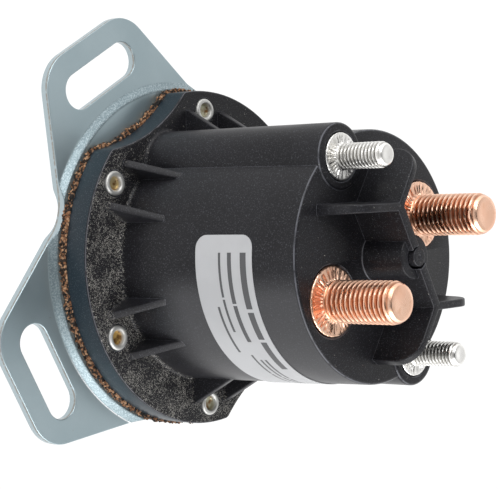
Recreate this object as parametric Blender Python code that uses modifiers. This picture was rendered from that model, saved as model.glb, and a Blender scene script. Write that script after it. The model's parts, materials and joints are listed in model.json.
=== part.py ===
"""Starter solenoid: a contactor with four studs in a moulded housing, riveted to a slotted steel bracket.

The origin lies on the body's axis, in the plane of the bracket's two ears. +Z runs along the axis to the
studs, +X to one power stud and +Y to one coil stud. All sizes are in metres. The body's radius and length
are the two main sizes, and the rest follows from them through named margins and insets.
"""

import math

import bmesh
import bpy
from mathutils import Matrix, Vector

# Clearances
GAP = 0.0003
MERGE = 0.00001
WELD = 0.000001

# Facets of a full turn
BODY_STEPS = 60
INNER_STEPS = 30
STUD_STEPS = 24
SMALL_STEPS = 14

# Facets of an arc
EDGE_STEPS = 2
NOTCH_CORNER_STEPS = 4
FILLET_STEPS = 6
CORNER_STEPS = 8
SLOT_END_STEPS = 12
CLIP_STEPS = 24

# Moulded housing
BODY_R = 0.0247
BODY_LENGTH = 0.0433
BODY_DRAFT = math.radians(1.05)
BODY_WALL = 0.0024
FRONT_WALL = 0.0050
FACE_EDGE_R = 0.0007
FLANGE = 0.0054
FLANGE_WIDTH = 0.0090
FLANGE_R = BODY_R + FLANGE_WIDTH
FLANGE_EDGE = 0.0004
NOTCH_ANGLES = (90, 270)
NOTCH_DEPTH = 0.0043
NOTCH_FLOOR_AT = FLANGE_R - NOTCH_DEPTH
NOTCH_R = 0.033
NOTCH_CORNER_R = 0.0015
LOBE_R = 0.0063
LOBE_DRAFT = 0.0002
LOBE_RISE = 0.0004
LEAD_CHANNEL_WIDTH = 0.0046
LEAD_CHANNEL_DEPTH = 0.0027
GUSSET_OFFSET = 0.0047
GUSSET = 0.0016
GUSSET_INSET = 0.0041
GUSSET_REACH = FLANGE_R - GUSSET_INSET
GUSSET_HEIGHT = 0.0107
GUSSET_TOE = 0.0004

# Mounting bracket, pressed from one sheet
SHEET = 0.0019
DISC_RISE = 0.0011
DISC_MARGIN = 0.0003
DISC_R = FLANGE_R + DISC_MARGIN
STEP_MARGIN = 0.0005
STEP_AT = DISC_R + STEP_MARGIN
STEP_WIDTH = 0.0014
STEP_SHIFT = 0.0004
EAR_ANGLES = (90, 180)
EAR_LENGTH = 0.0162
EAR_REACH = DISC_R + EAR_LENGTH
EAR_FLARE = math.radians(22.3)
EAR_CORNER_R = 0.008
EAR_FILLET_R = 0.0095
EAR_FILLET_LAND = 0.00005
SLOT_INSET = 0.0082
SLOT_AT = EAR_REACH - SLOT_INSET
SLOT_LENGTH = 0.0206
SLOT_WIDTH = 0.0072

# Cork gasket
GASKET = 0.0010
GASKET_PROUD = 0.0005

# Places of the studs on the face
POWER_INSET = 0.0093
POWER_AT = BODY_R - POWER_INSET
COIL_STUD_INSET = 0.0032
COIL_STUD_AT = BODY_R - COIL_STUD_INSET

# Barrier between the studs
BARRIER_HEIGHT = 0.0099
WALL_TOP = 0.0020
WALL_FOOT = 0.0032
ARM_TOP = 0.0015
ARM_FOOT = 0.0021
FORK_INSET = 0.0108
FORK_AT = COIL_STUD_AT - FORK_INSET
ARM_SPREAD = 0.0108
ARM_RUN = 0.0058
ARM_CORNER_R = 0.0050
BOSS_HEIGHT = 0.0088
BOSS_TOP_R = 0.0041
BOSS_FOOT_R = 0.0047
PLUG_R = 0.00175
PLUG_RECESS_DEPTH = 0.0082
PLUG_DIMPLE_R = 0.0005

# Tubular rivets
RIVET_COUNT = 6
RIVET_INSET = 0.0040
RIVET_AT = FLANGE_R - RIVET_INSET
RIVET_R = 0.0016
RIVET_BORE_R = 0.0011
RIVET_RING_R = 0.0023
RIVET_RING = 0.0006
RIVET_RING_LIP = 0.0003
RIVET_CROWN = 0.0002
RIVET_PROUD = 0.0004
RIVET_HEAD_R = 0.0027
RIVET_HEAD = 0.0005
RIVET_BORE_FLOOR = 0.0014

# Power studs, 5/16-24
POWER_R = 0.00397
POWER_REACH = 0.0157
POWER_HEAD_R = 0.0065
POWER_HEAD = 0.0011
POWER_HEAD_PROUD = 0.0005
POWER_TIP_R = 0.0031
POWER_TIP = 0.0012
CONTACT_HEAD_R = 0.0050
CONTACT_HEAD = 0.0027

# Coil studs, #10-32
COIL_STUD_R = 0.002415
COIL_STUD_REACH = 0.0107
COIL_STUD_HEAD_R = 0.00445
COIL_STUD_HEAD = 0.0011
COIL_STUD_HEAD_PROUD = 0.0004
COIL_STUD_TIP_R = 0.0017
COIL_STUD_TIP = 0.0009
COIL_STUD_INSIDE = 0.0038

# Label
LABEL_FROM = math.radians(138.8)
LABEL_TO = math.radians(246)
LABEL_INSET = 0.0099
LABEL_HEIGHT = 0.0137
LABEL = 0.00015
LABEL_CORNER_R = 0.0025
LABEL_COLUMNS = 20
LABEL_ROWS = 6

# Coil and its iron
CHAMBER_R = BODY_R - BODY_WALL
SLEEVE_CLEARANCE = 0.0010
SLEEVE_R = CHAMBER_R - SLEEVE_CLEARANCE
SLEEVE = 0.0012
POLE_PLATE = 0.0024
POLE_NOTCH_WIDTH = 0.0050
POLE_NOTCH_DEPTH = 0.0060
BOBBIN_BORE_R = 0.0070
BOBBIN_TUBE = 0.0009
BOBBIN_CLEARANCE = 0.0010
BOBBIN_FLANGE_R = SLEEVE_R - SLEEVE - BOBBIN_CLEARANCE
BOBBIN_FLANGE = 0.0014
WINDING_INSET = 0.0012
WINDING_R = BOBBIN_FLANGE_R - WINDING_INSET
TAPE = 0.0004
LEAD_R = 0.0005
LEAD_INSET = 0.0012
LEAD_START_R = WINDING_R - LEAD_INSET
LEAD_SLOT_WIDTH = 0.0022
LEAD_BEND_SHARE = 0.4
LEAD_POINTS = 4
CORE_NECK_R = 0.0046
CORE_SHARE = 0.443
CORE_STAKE = 0.0006
CORE_POCKET = 0.0050
PLUNGER_CLEARANCE = 0.0004
PLUNGER_POCKET = 0.0030
STOP_PAD_R = 0.0060
STOP_PAD = 0.0017

# Moving contact
TRAVEL = 0.0022
OVERTRAVEL = 0.0010
ROD_R = 0.0015
ROD_COLLAR_R = 0.0030
ROD_COLLAR = 0.0008
ROD_COLLAR_ROOM = 0.0011
ROD_NOSE = 0.0007
GROOVE_DEPTH = 0.0004
CLIP_R = 0.0030
CLIP = 0.0006
CLIP_MOUTH = math.radians(70)
CONTACT_CLEARANCE = 0.0042
CONTACT_R = CHAMBER_R - CONTACT_CLEARANCE
CONTACT = 0.0020
CONTACT_EDGE = 0.0003
BUSH_R = 0.0029
BUSH_FLANGE_R = 0.0050
BUSH_FLANGE = 0.0009
WASHER = 0.0008

# Springs
RETURN_SPRING_R = 0.0035
RETURN_WIRE_R = 0.00035
RETURN_TURNS = 5
CONTACT_SPRING_R = 0.0025
CONTACT_WIRE_R = 0.0003
CONTACT_TURNS = 3
CONTACT_SPRING_LENGTH = 0.0032
POINTS_A_TURN = 10

# Heights along the axis, from the ears' plane up
DISC_TOP = DISC_RISE + SHEET
GASKET_LOW = DISC_TOP + GAP
FLANGE_LOW = GASKET_LOW + GASKET + GAP
FLANGE_TOP = FLANGE_LOW + FLANGE
FACE = FLANGE_TOP + BODY_LENGTH
CHAMBER_TOP = FACE - FRONT_WALL
ROOT = FLANGE_LOW + FLANGE / 2
FACE_ROOT = FACE - FRONT_WALL / 2
LOBE_TOP = FACE + LOBE_RISE
BARRIER_TOP = FACE + BARRIER_HEIGHT
LABEL_HIGH = FACE - LABEL_INSET
LABEL_LOW = LABEL_HIGH - LABEL_HEIGHT
STUD_CONTACT_LOW = CHAMBER_TOP - GAP - CONTACT_HEAD
CONTACT_TOP = STUD_CONTACT_LOW - GAP - TRAVEL
CONTACT_LOW = CONTACT_TOP - CONTACT
BUSH_TOP = CONTACT_LOW - GAP
BUSH_LOW = BUSH_TOP - BUSH_FLANGE
WASHER_LOW = CONTACT_TOP + GAP
WASHER_TOP = WASHER_LOW + WASHER
CLIP_LOW = WASHER_TOP + GAP
CLIP_TOP = CLIP_LOW + CLIP
COLLAR_TOP = BUSH_LOW - GAP - CONTACT_SPRING_LENGTH - GAP
COLLAR_LOW = COLLAR_TOP - ROD_COLLAR
COIL_STUD_LOW = CHAMBER_TOP - COIL_STUD_INSIDE
NECK_TOP = COLLAR_LOW - ROD_COLLAR_ROOM
PLATE_TOP = NECK_TOP - CORE_STAKE
PLATE_LOW = PLATE_TOP - POLE_PLATE
SLEEVE_LOW = DISC_TOP + GAP
SLEEVE_TOP = PLATE_LOW - GAP
CORE_LOW = SLEEVE_TOP - CORE_SHARE * (SLEEVE_TOP - SLEEVE_LOW)
PAD_LOW = DISC_TOP + GAP
PLUNGER_LOW = PAD_LOW + STOP_PAD + GAP
PLUNGER_TOP = CORE_LOW - GAP - TRAVEL

# Radii that follow from their neighbours
CORE_R = BOBBIN_BORE_R - PLUNGER_CLEARANCE
SPRING_POCKET_R = RETURN_SPRING_R + RETURN_WIRE_R + GAP + RETURN_WIRE_R
WINDING_CORE_R = BOBBIN_BORE_R + BOBBIN_TUBE + GAP

# Stands a plate that was drawn flat on its lower edge
UPRIGHT = Matrix.Rotation(math.pi / 2, 4, "X")


def clear_scene():
    for obj in list(bpy.data.objects):
        bpy.data.objects.remove(obj)


def new_collection(name):
    collection = bpy.data.collections.new(name)
    bpy.context.scene.collection.children.link(collection)
    return collection


def new_material(name, colour, roughness, metallic):
    material = bpy.data.materials.new(name)
    material.use_nodes = True
    shader = material.node_tree.nodes["Principled BSDF"]
    shader.inputs["Base Color"].default_value = (*colour, 1)
    shader.inputs["Roughness"].default_value = roughness
    shader.inputs["Metallic"].default_value = metallic
    return material


def add_part(name, mesh, material):
    """A visible piece of the solenoid."""
    obj = bpy.data.objects.new(name, mesh)
    obj.data.materials.append(material)
    parts.objects.link(obj)
    return obj


def add_tool(name, mesh):
    """A shape that only joins or cuts another one."""
    obj = bpy.data.objects.new(name, mesh)
    obj.hide_render = True
    obj.display_type = "WIRE"
    tools.objects.link(obj)
    return obj


def combine(target, tool, operation, solver="EXACT"):
    modifier = target.modifiers.new(tool.name, "BOOLEAN")
    modifier.operation = operation
    modifier.solver = solver
    modifier.object = tool


def arc(centre, radius, start, end, count):
    """Points from one angle to another around a centre, both ends included."""
    angles = [start + (end - start) * i / count for i in range(count + 1)]
    return [(centre[0] + radius * math.cos(a), centre[1] + radius * math.sin(a)) for a in angles]


def turn_points(points, angle):
    c, s = math.cos(angle), math.sin(angle)
    return [(x * c - y * s, x * s + y * c) for x, y in points]


def circle(centre, radius, count):
    return arc(centre, radius, 0, 2 * math.pi, count)[:-1]


def plate_mesh(name, loops, low, high):
    """A flat plate between two heights. The first loop is its outline and the others are holes."""
    curve = bpy.data.curves.new(name, "CURVE")
    curve.dimensions = "2D"
    curve.fill_mode = "BOTH"
    curve.extrude = (high - low) / 2
    for loop in loops:
        spline = curve.splines.new("POLY")
        spline.points.add(len(loop) - 1)
        spline.use_cyclic_u = True
        for point, (x, y) in zip(spline.points, loop):
            point.co = (x, y, 0, 1)
    mesh = mesh_of_curve(name, curve)
    mesh.transform(Matrix.Translation((0, 0, (low + high) / 2)))
    return mesh


def mesh_of_curve(name, curve):
    """The welded mesh of a curve, which can then be cut or joined."""
    holder = bpy.data.objects.new(name, curve)
    tools.objects.link(holder)
    bpy.context.view_layer.update()
    graph = bpy.context.evaluated_depsgraph_get()
    mesh = bpy.data.meshes.new_from_object(holder.evaluated_get(graph))
    bpy.data.objects.remove(holder)
    cage = bmesh.new()
    cage.from_mesh(mesh)
    bmesh.ops.remove_doubles(cage, verts=cage.verts, dist=WELD)
    bmesh.ops.recalc_face_normals(cage, faces=cage.faces)
    cage.to_mesh(mesh)
    cage.free()
    return mesh


def turned_mesh(name, profile, ring):
    """The edge chain of a turned shape. It runs down the outer side, and a ring's chain is closed."""
    mesh = bpy.data.meshes.new(name)
    edges = [(i, i + 1) for i in range(len(profile) - 1)]
    if ring:
        edges.append((len(profile) - 1, 0))
    mesh.from_pydata([(r, 0, z) for r, z in profile], edges, [])
    return mesh


def turn(obj, steps):
    screw = obj.modifiers.new("turn", "SCREW")
    screw.steps = steps
    screw.render_steps = steps
    screw.use_merge_vertices = True
    screw.merge_threshold = MERGE
    screw.use_smooth_shade = True
    return obj


def turned_part(name, profile, material, steps, ring=False):
    return turn(add_part(name, turned_mesh(name, profile, ring), material), steps)


def turned_tool(name, profile, steps, ring=False):
    return turn(add_tool(name, turned_mesh(name, profile, ring)), steps)


def box_tool(name, low, high):
    cage = bmesh.new()
    bmesh.ops.create_cube(cage, size=1)
    size = [b - a for a, b in zip(low, high)]
    middle = [(a + b) / 2 for a, b in zip(low, high)]
    mesh = bpy.data.meshes.new(name)
    cage.to_mesh(mesh)
    cage.free()
    mesh.transform(Matrix.Translation(middle) @ Matrix.Diagonal((*size, 1)))
    return add_tool(name, mesh)


def bevel(obj, width, segments, angle=math.radians(60)):
    modifier = obj.modifiers.new("edge", "BEVEL")
    modifier.width = width
    modifier.segments = segments
    modifier.limit_method = "ANGLE"
    modifier.angle_limit = angle


def rivet_places():
    """The centre and direction of each rivet, counted from +X."""
    for i in range(RIVET_COUNT):
        angle = 2 * math.pi * i / RIVET_COUNT
        yield i + 1, angle, (RIVET_AT * math.cos(angle), RIVET_AT * math.sin(angle))


def ear_side(normal):
    """The distance of an ear's side from the axis, at which its fillet ends before halfway to the next ear."""
    angles = sorted(EAR_ANGLES)
    halfway = math.radians(min(b - a for a, b in zip(angles, angles[1:]))) / 2
    lean = math.cos(halfway - math.atan2(normal.y, normal.x))
    return DISC_R * lean - EAR_FILLET_R * (1 - lean) - EAR_FILLET_LAND


def ear_outline(angle):
    """One ear from the disc's edge round to that edge again, and the angle at which it leaves the disc."""
    normal = Vector((math.sin(EAR_FLARE), math.cos(EAR_FLARE)))
    inward = Vector((-math.cos(EAR_FLARE), math.sin(EAR_FLARE)))
    side = ear_side(normal)
    along = math.sqrt((DISC_R + EAR_FILLET_R) ** 2 - (side + EAR_FILLET_R) ** 2)
    fillet = normal * (side + EAR_FILLET_R) - inward * along
    corner_t = EAR_REACH - EAR_CORNER_R
    corner = (corner_t, (side - EAR_CORNER_R - normal.x * corner_t) / normal.y)
    leave = math.atan2(fillet.y, fillet.x)
    facing = math.atan2(normal.y, normal.x)
    half = arc(corner, EAR_CORNER_R, 0, facing, CORNER_STEPS)
    half += arc(fillet, EAR_FILLET_R, facing - math.pi, leave - math.pi, FILLET_STEPS)
    other = [(x, -y) for x, y in reversed(half)]
    return turn_points(other + half, angle), leave


def bracket_outline():
    points = []
    angles = [math.radians(a) for a in sorted(EAR_ANGLES)]
    for angle, following in zip(angles, angles[1:] + [angles[0] + 2 * math.pi]):
        ear, leave = ear_outline(angle)
        points += ear
        start, end = angle + leave, following - leave
        if end > start:
            count = max(2, round((end - start) / (2 * math.pi) * BODY_STEPS))
            points += arc((0, 0), DISC_R, start, end, count)[1:-1]
    return points


def slot_outline(angle):
    half = (SLOT_LENGTH - SLOT_WIDTH) / 2
    ends = arc((SLOT_AT, half), SLOT_WIDTH / 2, 0, math.pi, SLOT_END_STEPS)
    ends += arc((SLOT_AT, -half), SLOT_WIDTH / 2, math.pi, 2 * math.pi, SLOT_END_STEPS)
    return turn_points(ends, angle)


def notched_outline(grow):
    """The flange's round outline with its two shallow scallops, grown outwards by a margin."""
    radius = FLANGE_R + grow
    scallop = NOTCH_R - grow
    corner = NOTCH_CORNER_R + grow
    centre = NOTCH_FLOOR_AT + NOTCH_R
    near, far = radius - corner, scallop + corner
    corner_t = (near**2 - far**2 + centre**2) / (2 * centre)
    corner_w = math.sqrt(near**2 - corner_t**2)
    meet_disc = math.atan2(corner_w, corner_t)
    meet_scallop = math.atan2(-corner_w, centre - corner_t)
    half = arc((centre, 0), scallop, math.pi, math.pi + meet_scallop, CORNER_STEPS)[1:]
    half += arc((corner_t, corner_w), corner, meet_scallop, meet_disc, NOTCH_CORNER_STEPS)[1:]
    other = [(x, -y) for x, y in reversed(half)]
    notch = other + [(centre - scallop, 0)] + half
    points = []
    angles = [math.radians(a) for a in sorted(NOTCH_ANGLES)]
    for angle, following in zip(angles, angles[1:] + [angles[0] + 2 * math.pi]):
        points += turn_points(notch, angle)
        start, end = angle + meet_disc, following - meet_disc
        count = round((end - start) / (2 * math.pi) * BODY_STEPS)
        points += arc((0, 0), radius, start, end, count)[1:-1]
    return points


def mounting_bracket():
    loops = [bracket_outline()]
    loops += [slot_outline(math.radians(a)) for a in EAR_ANGLES]
    loops += [circle(centre, RIVET_R + GAP, SMALL_STEPS) for _, _, centre in rivet_places()]
    bracket = add_part("mounting_bracket", plate_mesh("bracket", loops, -SHEET, 2 * DISC_TOP), zinc)
    past = EAR_REACH + EAR_CORNER_R
    step_out = STEP_AT + STEP_WIDTH
    profile = [
        (0, DISC_TOP),
        (STEP_AT, DISC_TOP),
        (step_out, SHEET),
        (past, SHEET),
        (past, 0),
        (step_out - STEP_SHIFT, 0),
        (STEP_AT - STEP_SHIFT, DISC_RISE),
        (0, DISC_RISE),
    ]
    combine(bracket, turned_tool("pressed_sheet", profile, BODY_STEPS), "INTERSECT")
    return bracket


def cork_gasket():
    loops = [notched_outline(GASKET_PROUD), circle((0, 0), CHAMBER_R, INNER_STEPS)]
    loops += [circle(centre, RIVET_R + GAP, SMALL_STEPS) for _, _, centre in rivet_places()]
    return add_part("cork_gasket", plate_mesh("gasket", loops, GASKET_LOW, GASKET_LOW + GASKET), cork)


def body_radius(height):
    return BODY_R - (height - FLANGE_TOP) * math.tan(BODY_DRAFT)


def round_edge(radius, top):
    """The rounded rim of a turned shape, from its flat top down to its side."""
    return arc((radius - FACE_EDGE_R, top - FACE_EDGE_R), FACE_EDGE_R, math.pi / 2, 0, EDGE_STEPS)


def body_tool():
    edge = round_edge(body_radius(FACE), FACE)
    profile = [(0, FACE)] + edge + [(body_radius(ROOT), ROOT), (0, ROOT)]
    return turned_tool("body", profile, BODY_STEPS)


def lobe_tool(name, y):
    profile = [(0, LOBE_TOP)] + round_edge(LOBE_R, LOBE_TOP) + [(LOBE_R + LOBE_DRAFT, ROOT), (0, ROOT)]
    lobe = turned_tool(name, profile, STUD_STEPS)
    lobe.location.y = y
    return lobe


def gusset_tool(name, angle, offset):
    """A right triangle that stands on the flange, parallel to its rivet's radius."""
    wall = math.sqrt(body_radius(FLANGE_TOP + GUSSET_HEIGHT) ** 2 - offset**2)
    inside = wall - BODY_WALL / 2
    outline = [
        (inside, ROOT),
        (GUSSET_REACH, ROOT),
        (GUSSET_REACH, FLANGE_TOP + GUSSET_TOE),
        (wall, FLANGE_TOP + GUSSET_HEIGHT),
        (inside, FLANGE_TOP + GUSSET_HEIGHT),
    ]
    mesh = plate_mesh(name, [outline], -GUSSET / 2, GUSSET / 2)
    mesh.transform(Matrix.Translation((0, offset, 0)) @ UPRIGHT)
    mesh.transform(Matrix.Rotation(angle, 4, "Z"))
    return add_tool(name, mesh)


def wall_tool(name, start, end, top, foot, round_end):
    """A tapered wall of the barrier that stands on the face, with a round top corner at its free end."""
    start, end = Vector(start), Vector(end)
    length = (end - start).length
    outline = [(0, FACE_ROOT), (length, FACE_ROOT)]
    if round_end:
        corner = (length - ARM_CORNER_R, BARRIER_TOP - ARM_CORNER_R)
        outline += arc(corner, ARM_CORNER_R, 0, math.pi / 2, FILLET_STEPS)
    else:
        outline += [(length, BARRIER_TOP)]
    outline += [(0, BARRIER_TOP)]
    mesh = plate_mesh(name, [outline], -foot / 2, foot / 2)
    for vertex in mesh.vertices:
        rise = max(0, (vertex.co.y - FACE) / BARRIER_HEIGHT)
        vertex.co.z *= 1 + (top / foot - 1) * rise
    direction = math.atan2(end.y - start.y, end.x - start.x)
    mesh.transform(Matrix.Translation((*start, 0)) @ Matrix.Rotation(direction, 4, "Z") @ UPRIGHT)
    return add_tool(name, mesh)


def barrier_tools():
    yield wall_tool("middle_wall", (0, -FORK_AT), (0, FORK_AT), WALL_TOP, WALL_FOOT, False)
    for side in (-1, 1):
        for end in (-1, 1):
            fork = (0, end * FORK_AT)
            tip = (side * ARM_SPREAD, end * (FORK_AT + ARM_RUN))
            yield wall_tool(f"arm_{side}_{end}", fork, tip, ARM_TOP, ARM_FOOT, True)
    profile = [
        (0, FACE + BOSS_HEIGHT),
        (BOSS_TOP_R, FACE + BOSS_HEIGHT),
        (BOSS_FOOT_R, FACE),
        (BOSS_FOOT_R, FACE_ROOT),
        (0, FACE_ROOT),
    ]
    yield turned_tool("boss", profile, STUD_STEPS)


def chamber_tool():
    """The room inside, with the draft of the wall around it."""
    top_r = body_radius(CHAMBER_TOP) - BODY_WALL
    low_r = body_radius(FLANGE_LOW) - BODY_WALL
    profile = [
        (0, CHAMBER_TOP),
        (top_r, CHAMBER_TOP),
        (low_r, FLANGE_LOW),
        (low_r, FLANGE_LOW - FLANGE),
        (0, FLANGE_LOW - FLANGE),
    ]
    return turned_tool("chamber", profile, INNER_STEPS)


def stepped_hole(name, place, top, seat, wide_r, hole_r, bottom):
    profile = [
        (0, top + FRONT_WALL),
        (wide_r, top + FRONT_WALL),
        (wide_r, seat),
        (hole_r, seat),
        (hole_r, bottom),
        (0, bottom),
    ]
    hole = turned_tool(name, profile, STUD_STEPS)
    hole.location = (*place, 0)
    return hole


def housing_cutters():
    yield chamber_tool()
    for side in (-1, 1):
        y = side * COIL_STUD_AT
        reach = sorted((side * (CHAMBER_R - LEAD_CHANNEL_DEPTH), y + side * LEAD_CHANNEL_DEPTH))
        low = (-LEAD_CHANNEL_WIDTH / 2, reach[0], FLANGE_LOW - FLANGE)
        high = (LEAD_CHANNEL_WIDTH / 2, reach[1], CHAMBER_TOP)
        yield box_tool(f"lead_channel_{side}", low, high)
        seat = FACE + POWER_HEAD_PROUD - POWER_HEAD - GAP
        place = (side * POWER_AT, 0)
        below = CHAMBER_TOP - FRONT_WALL
        yield stepped_hole(f"power_hole_{side}", place, FACE, seat, POWER_HEAD_R + GAP, POWER_R + GAP, below)
        seat = LOBE_TOP + COIL_STUD_HEAD_PROUD - COIL_STUD_HEAD - GAP
        wide = COIL_STUD_HEAD_R + GAP
        yield stepped_hole(f"coil_hole_{side}", (0, y), LOBE_TOP, seat, wide, COIL_STUD_R + GAP, below)
    recess = [
        (0, BARRIER_TOP + FRONT_WALL),
        (PLUG_R + GAP, BARRIER_TOP + FRONT_WALL),
        (PLUG_R + GAP, BARRIER_TOP - PLUG_RECESS_DEPTH),
        (0, BARRIER_TOP - PLUG_RECESS_DEPTH),
    ]
    yield turned_tool("plug_recess", recess, SMALL_STEPS)
    for number, _, place in rivet_places():
        seat = FLANGE_TOP + RIVET_PROUD - RIVET_RING - GAP
        hole = [
            (0, FLANGE_TOP + FLANGE),
            (RIVET_RING_R + GAP, FLANGE_TOP + FLANGE),
            (RIVET_RING_R + GAP, seat),
            (RIVET_R + GAP, seat),
            (RIVET_R + GAP, FLANGE_LOW - FLANGE),
            (0, FLANGE_LOW - FLANGE),
        ]
        cutter = turned_tool(f"rivet_hole_{number}", hole, SMALL_STEPS)
        cutter.location = (*place, 0)
        yield cutter


def housing():
    """The moulding: flange, body, stud lobes, gussets and barrier in one piece, hollow from below."""
    shell = add_part("housing", plate_mesh("flange", [notched_outline(0)], FLANGE_LOW, FLANGE_TOP), plastic)
    bevel(shell, FLANGE_EDGE, 1)
    combine(shell, body_tool(), "UNION")
    for name, y in (("lobe_upper", COIL_STUD_AT), ("lobe_lower", -COIL_STUD_AT)):
        combine(shell, lobe_tool(name, y), "UNION")
    for number, angle, _ in rivet_places():
        for side in (-1, 1):
            gusset = gusset_tool(f"gusset_{number}_{side}", angle, side * GUSSET_OFFSET)
            combine(shell, gusset, "UNION")
    # From here on the shapes share planes, where the exact solver can leave an edge open.
    for tool in barrier_tools():
        combine(shell, tool, "UNION", "MANIFOLD")
    for cutter in housing_cutters():
        combine(shell, cutter, "DIFFERENCE", "MANIFOLD")
    return shell


def rivets():
    ring_top = FLANGE_TOP + RIVET_PROUD
    ring_low = ring_top - RIVET_RING
    crown = (RIVET_RING_R + RIVET_BORE_R) / 2
    ring = [
        (RIVET_BORE_R, ring_low),
        (crown - RIVET_CROWN, ring_top),
        (crown + RIVET_CROWN, ring_top),
        (RIVET_RING_R, ring_low + RIVET_RING_LIP),
        (RIVET_RING_R, ring_low),
    ]
    head_top = DISC_RISE - GAP
    profile = [(0, head_top + RIVET_BORE_FLOOR), (RIVET_BORE_R, head_top + RIVET_BORE_FLOOR)]
    profile += ring
    profile += [
        (RIVET_R, ring_low),
        (RIVET_R, head_top),
        (RIVET_HEAD_R, head_top),
        (RIVET_HEAD_R, head_top - RIVET_HEAD / 2),
        (RIVET_HEAD_R - RIVET_HEAD, head_top - RIVET_HEAD),
        (0, head_top - RIVET_HEAD),
    ]
    for number, _, place in rivet_places():
        rivet = turned_part(f"rivet_{number}", profile, rivet_metal, SMALL_STEPS)
        rivet.location = (*place, 0)


def power_studs():
    head_top = FACE + POWER_HEAD_PROUD
    tip = FACE + POWER_REACH
    profile = [
        (0, tip),
        (POWER_TIP_R, tip),
        (POWER_R, tip - POWER_TIP),
        (POWER_R, head_top),
        (POWER_HEAD_R, head_top),
        (POWER_HEAD_R, head_top - POWER_HEAD),
        (POWER_R, head_top - POWER_HEAD),
        (POWER_R, CHAMBER_TOP - GAP),
        (CONTACT_HEAD_R, CHAMBER_TOP - GAP),
        (CONTACT_HEAD_R, STUD_CONTACT_LOW),
        (0, STUD_CONTACT_LOW),
    ]
    for name, x in (("power_stud_left", -POWER_AT), ("power_stud_right", POWER_AT)):
        stud = turned_part(name, profile, copper, STUD_STEPS)
        stud.location.x = x


def coil_studs():
    head_top = LOBE_TOP + COIL_STUD_HEAD_PROUD
    tip = LOBE_TOP + COIL_STUD_REACH
    profile = [
        (0, tip),
        (COIL_STUD_TIP_R, tip),
        (COIL_STUD_R, tip - COIL_STUD_TIP),
        (COIL_STUD_R, head_top),
        (COIL_STUD_HEAD_R, head_top),
        (COIL_STUD_HEAD_R, head_top - COIL_STUD_HEAD),
        (COIL_STUD_R, head_top - COIL_STUD_HEAD),
        (COIL_STUD_R, COIL_STUD_LOW),
        (0, COIL_STUD_LOW),
    ]
    for name, y in (("coil_stud_upper", COIL_STUD_AT), ("coil_stud_lower", -COIL_STUD_AT)):
        stud = turned_part(name, profile, tin, STUD_STEPS)
        stud.location.y = y


def vent_plug():
    low = BARRIER_TOP - PLUG_RECESS_DEPTH + GAP
    profile = [
        (0, BARRIER_TOP - PLUG_DIMPLE_R / 2),
        (PLUG_DIMPLE_R, BARRIER_TOP),
        (PLUG_R - GAP, BARRIER_TOP),
        (PLUG_R, BARRIER_TOP - GAP),
        (PLUG_R, low),
        (0, low),
    ]
    return turned_part("vent_plug", profile, plastic, SMALL_STEPS)


def label():
    """A thin film on the body. Each row of its grid is narrowed where the corners are round."""
    half_height = LABEL_HEIGHT / 2
    middle = LABEL_LOW + half_height
    radius = body_radius(middle)
    half_width = (LABEL_TO - LABEL_FROM) / 2 * radius
    cage = bmesh.new()
    bmesh.ops.create_grid(cage, x_segments=LABEL_COLUMNS, y_segments=LABEL_ROWS, size=1)
    for vertex in cage.verts:
        across = math.sin(vertex.co.y * math.pi / 2) * half_height
        into_corner = max(0, abs(across) - (half_height - LABEL_CORNER_R))
        lost = LABEL_CORNER_R - math.sqrt(max(0, LABEL_CORNER_R**2 - into_corner**2))
        along = vertex.co.x * (half_width - lost)
        height = middle + across
        angle = (LABEL_FROM + LABEL_TO) / 2 + along / radius
        reach = body_radius(height) + GAP
        vertex.co = (reach * math.cos(angle), reach * math.sin(angle), height)
    bmesh.ops.recalc_face_normals(cage, faces=cage.faces)
    mesh = bpy.data.meshes.new("label")
    cage.to_mesh(mesh)
    cage.free()
    film = add_part("label", mesh, paper)
    outward = Vector((math.cos((LABEL_FROM + LABEL_TO) / 2), math.sin((LABEL_FROM + LABEL_TO) / 2), 0))
    faces_out = sum(face.normal.dot(outward) for face in mesh.polygons) > 0
    thicken = film.modifiers.new("film", "SOLIDIFY")
    thicken.thickness = LABEL
    thicken.offset = 1 if faces_out else -1
    return film


def flux_sleeve():
    inner = SLEEVE_R - SLEEVE
    profile = [(inner, SLEEVE_TOP), (SLEEVE_R, SLEEVE_TOP), (SLEEVE_R, SLEEVE_LOW), (inner, SLEEVE_LOW)]
    return turned_part("flux_sleeve", profile, steel, INNER_STEPS, ring=True)


def front_pole_plate():
    hole = CORE_NECK_R + GAP
    profile = [(hole, PLATE_TOP), (SLEEVE_R, PLATE_TOP), (SLEEVE_R, PLATE_LOW), (hole, PLATE_LOW)]
    plate = turned_part("front_pole_plate", profile, steel, INNER_STEPS, ring=True)
    for side in (-1, 1):
        reach = sorted((side * (SLEEVE_R - POLE_NOTCH_DEPTH), side * (SLEEVE_R + POLE_NOTCH_DEPTH)))
        low = (-POLE_NOTCH_WIDTH / 2, reach[0], PLATE_LOW - POLE_PLATE)
        high = (POLE_NOTCH_WIDTH / 2, reach[1], PLATE_TOP + POLE_PLATE)
        combine(plate, box_tool(f"pole_notch_{side}", low, high), "DIFFERENCE")
    return plate


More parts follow.
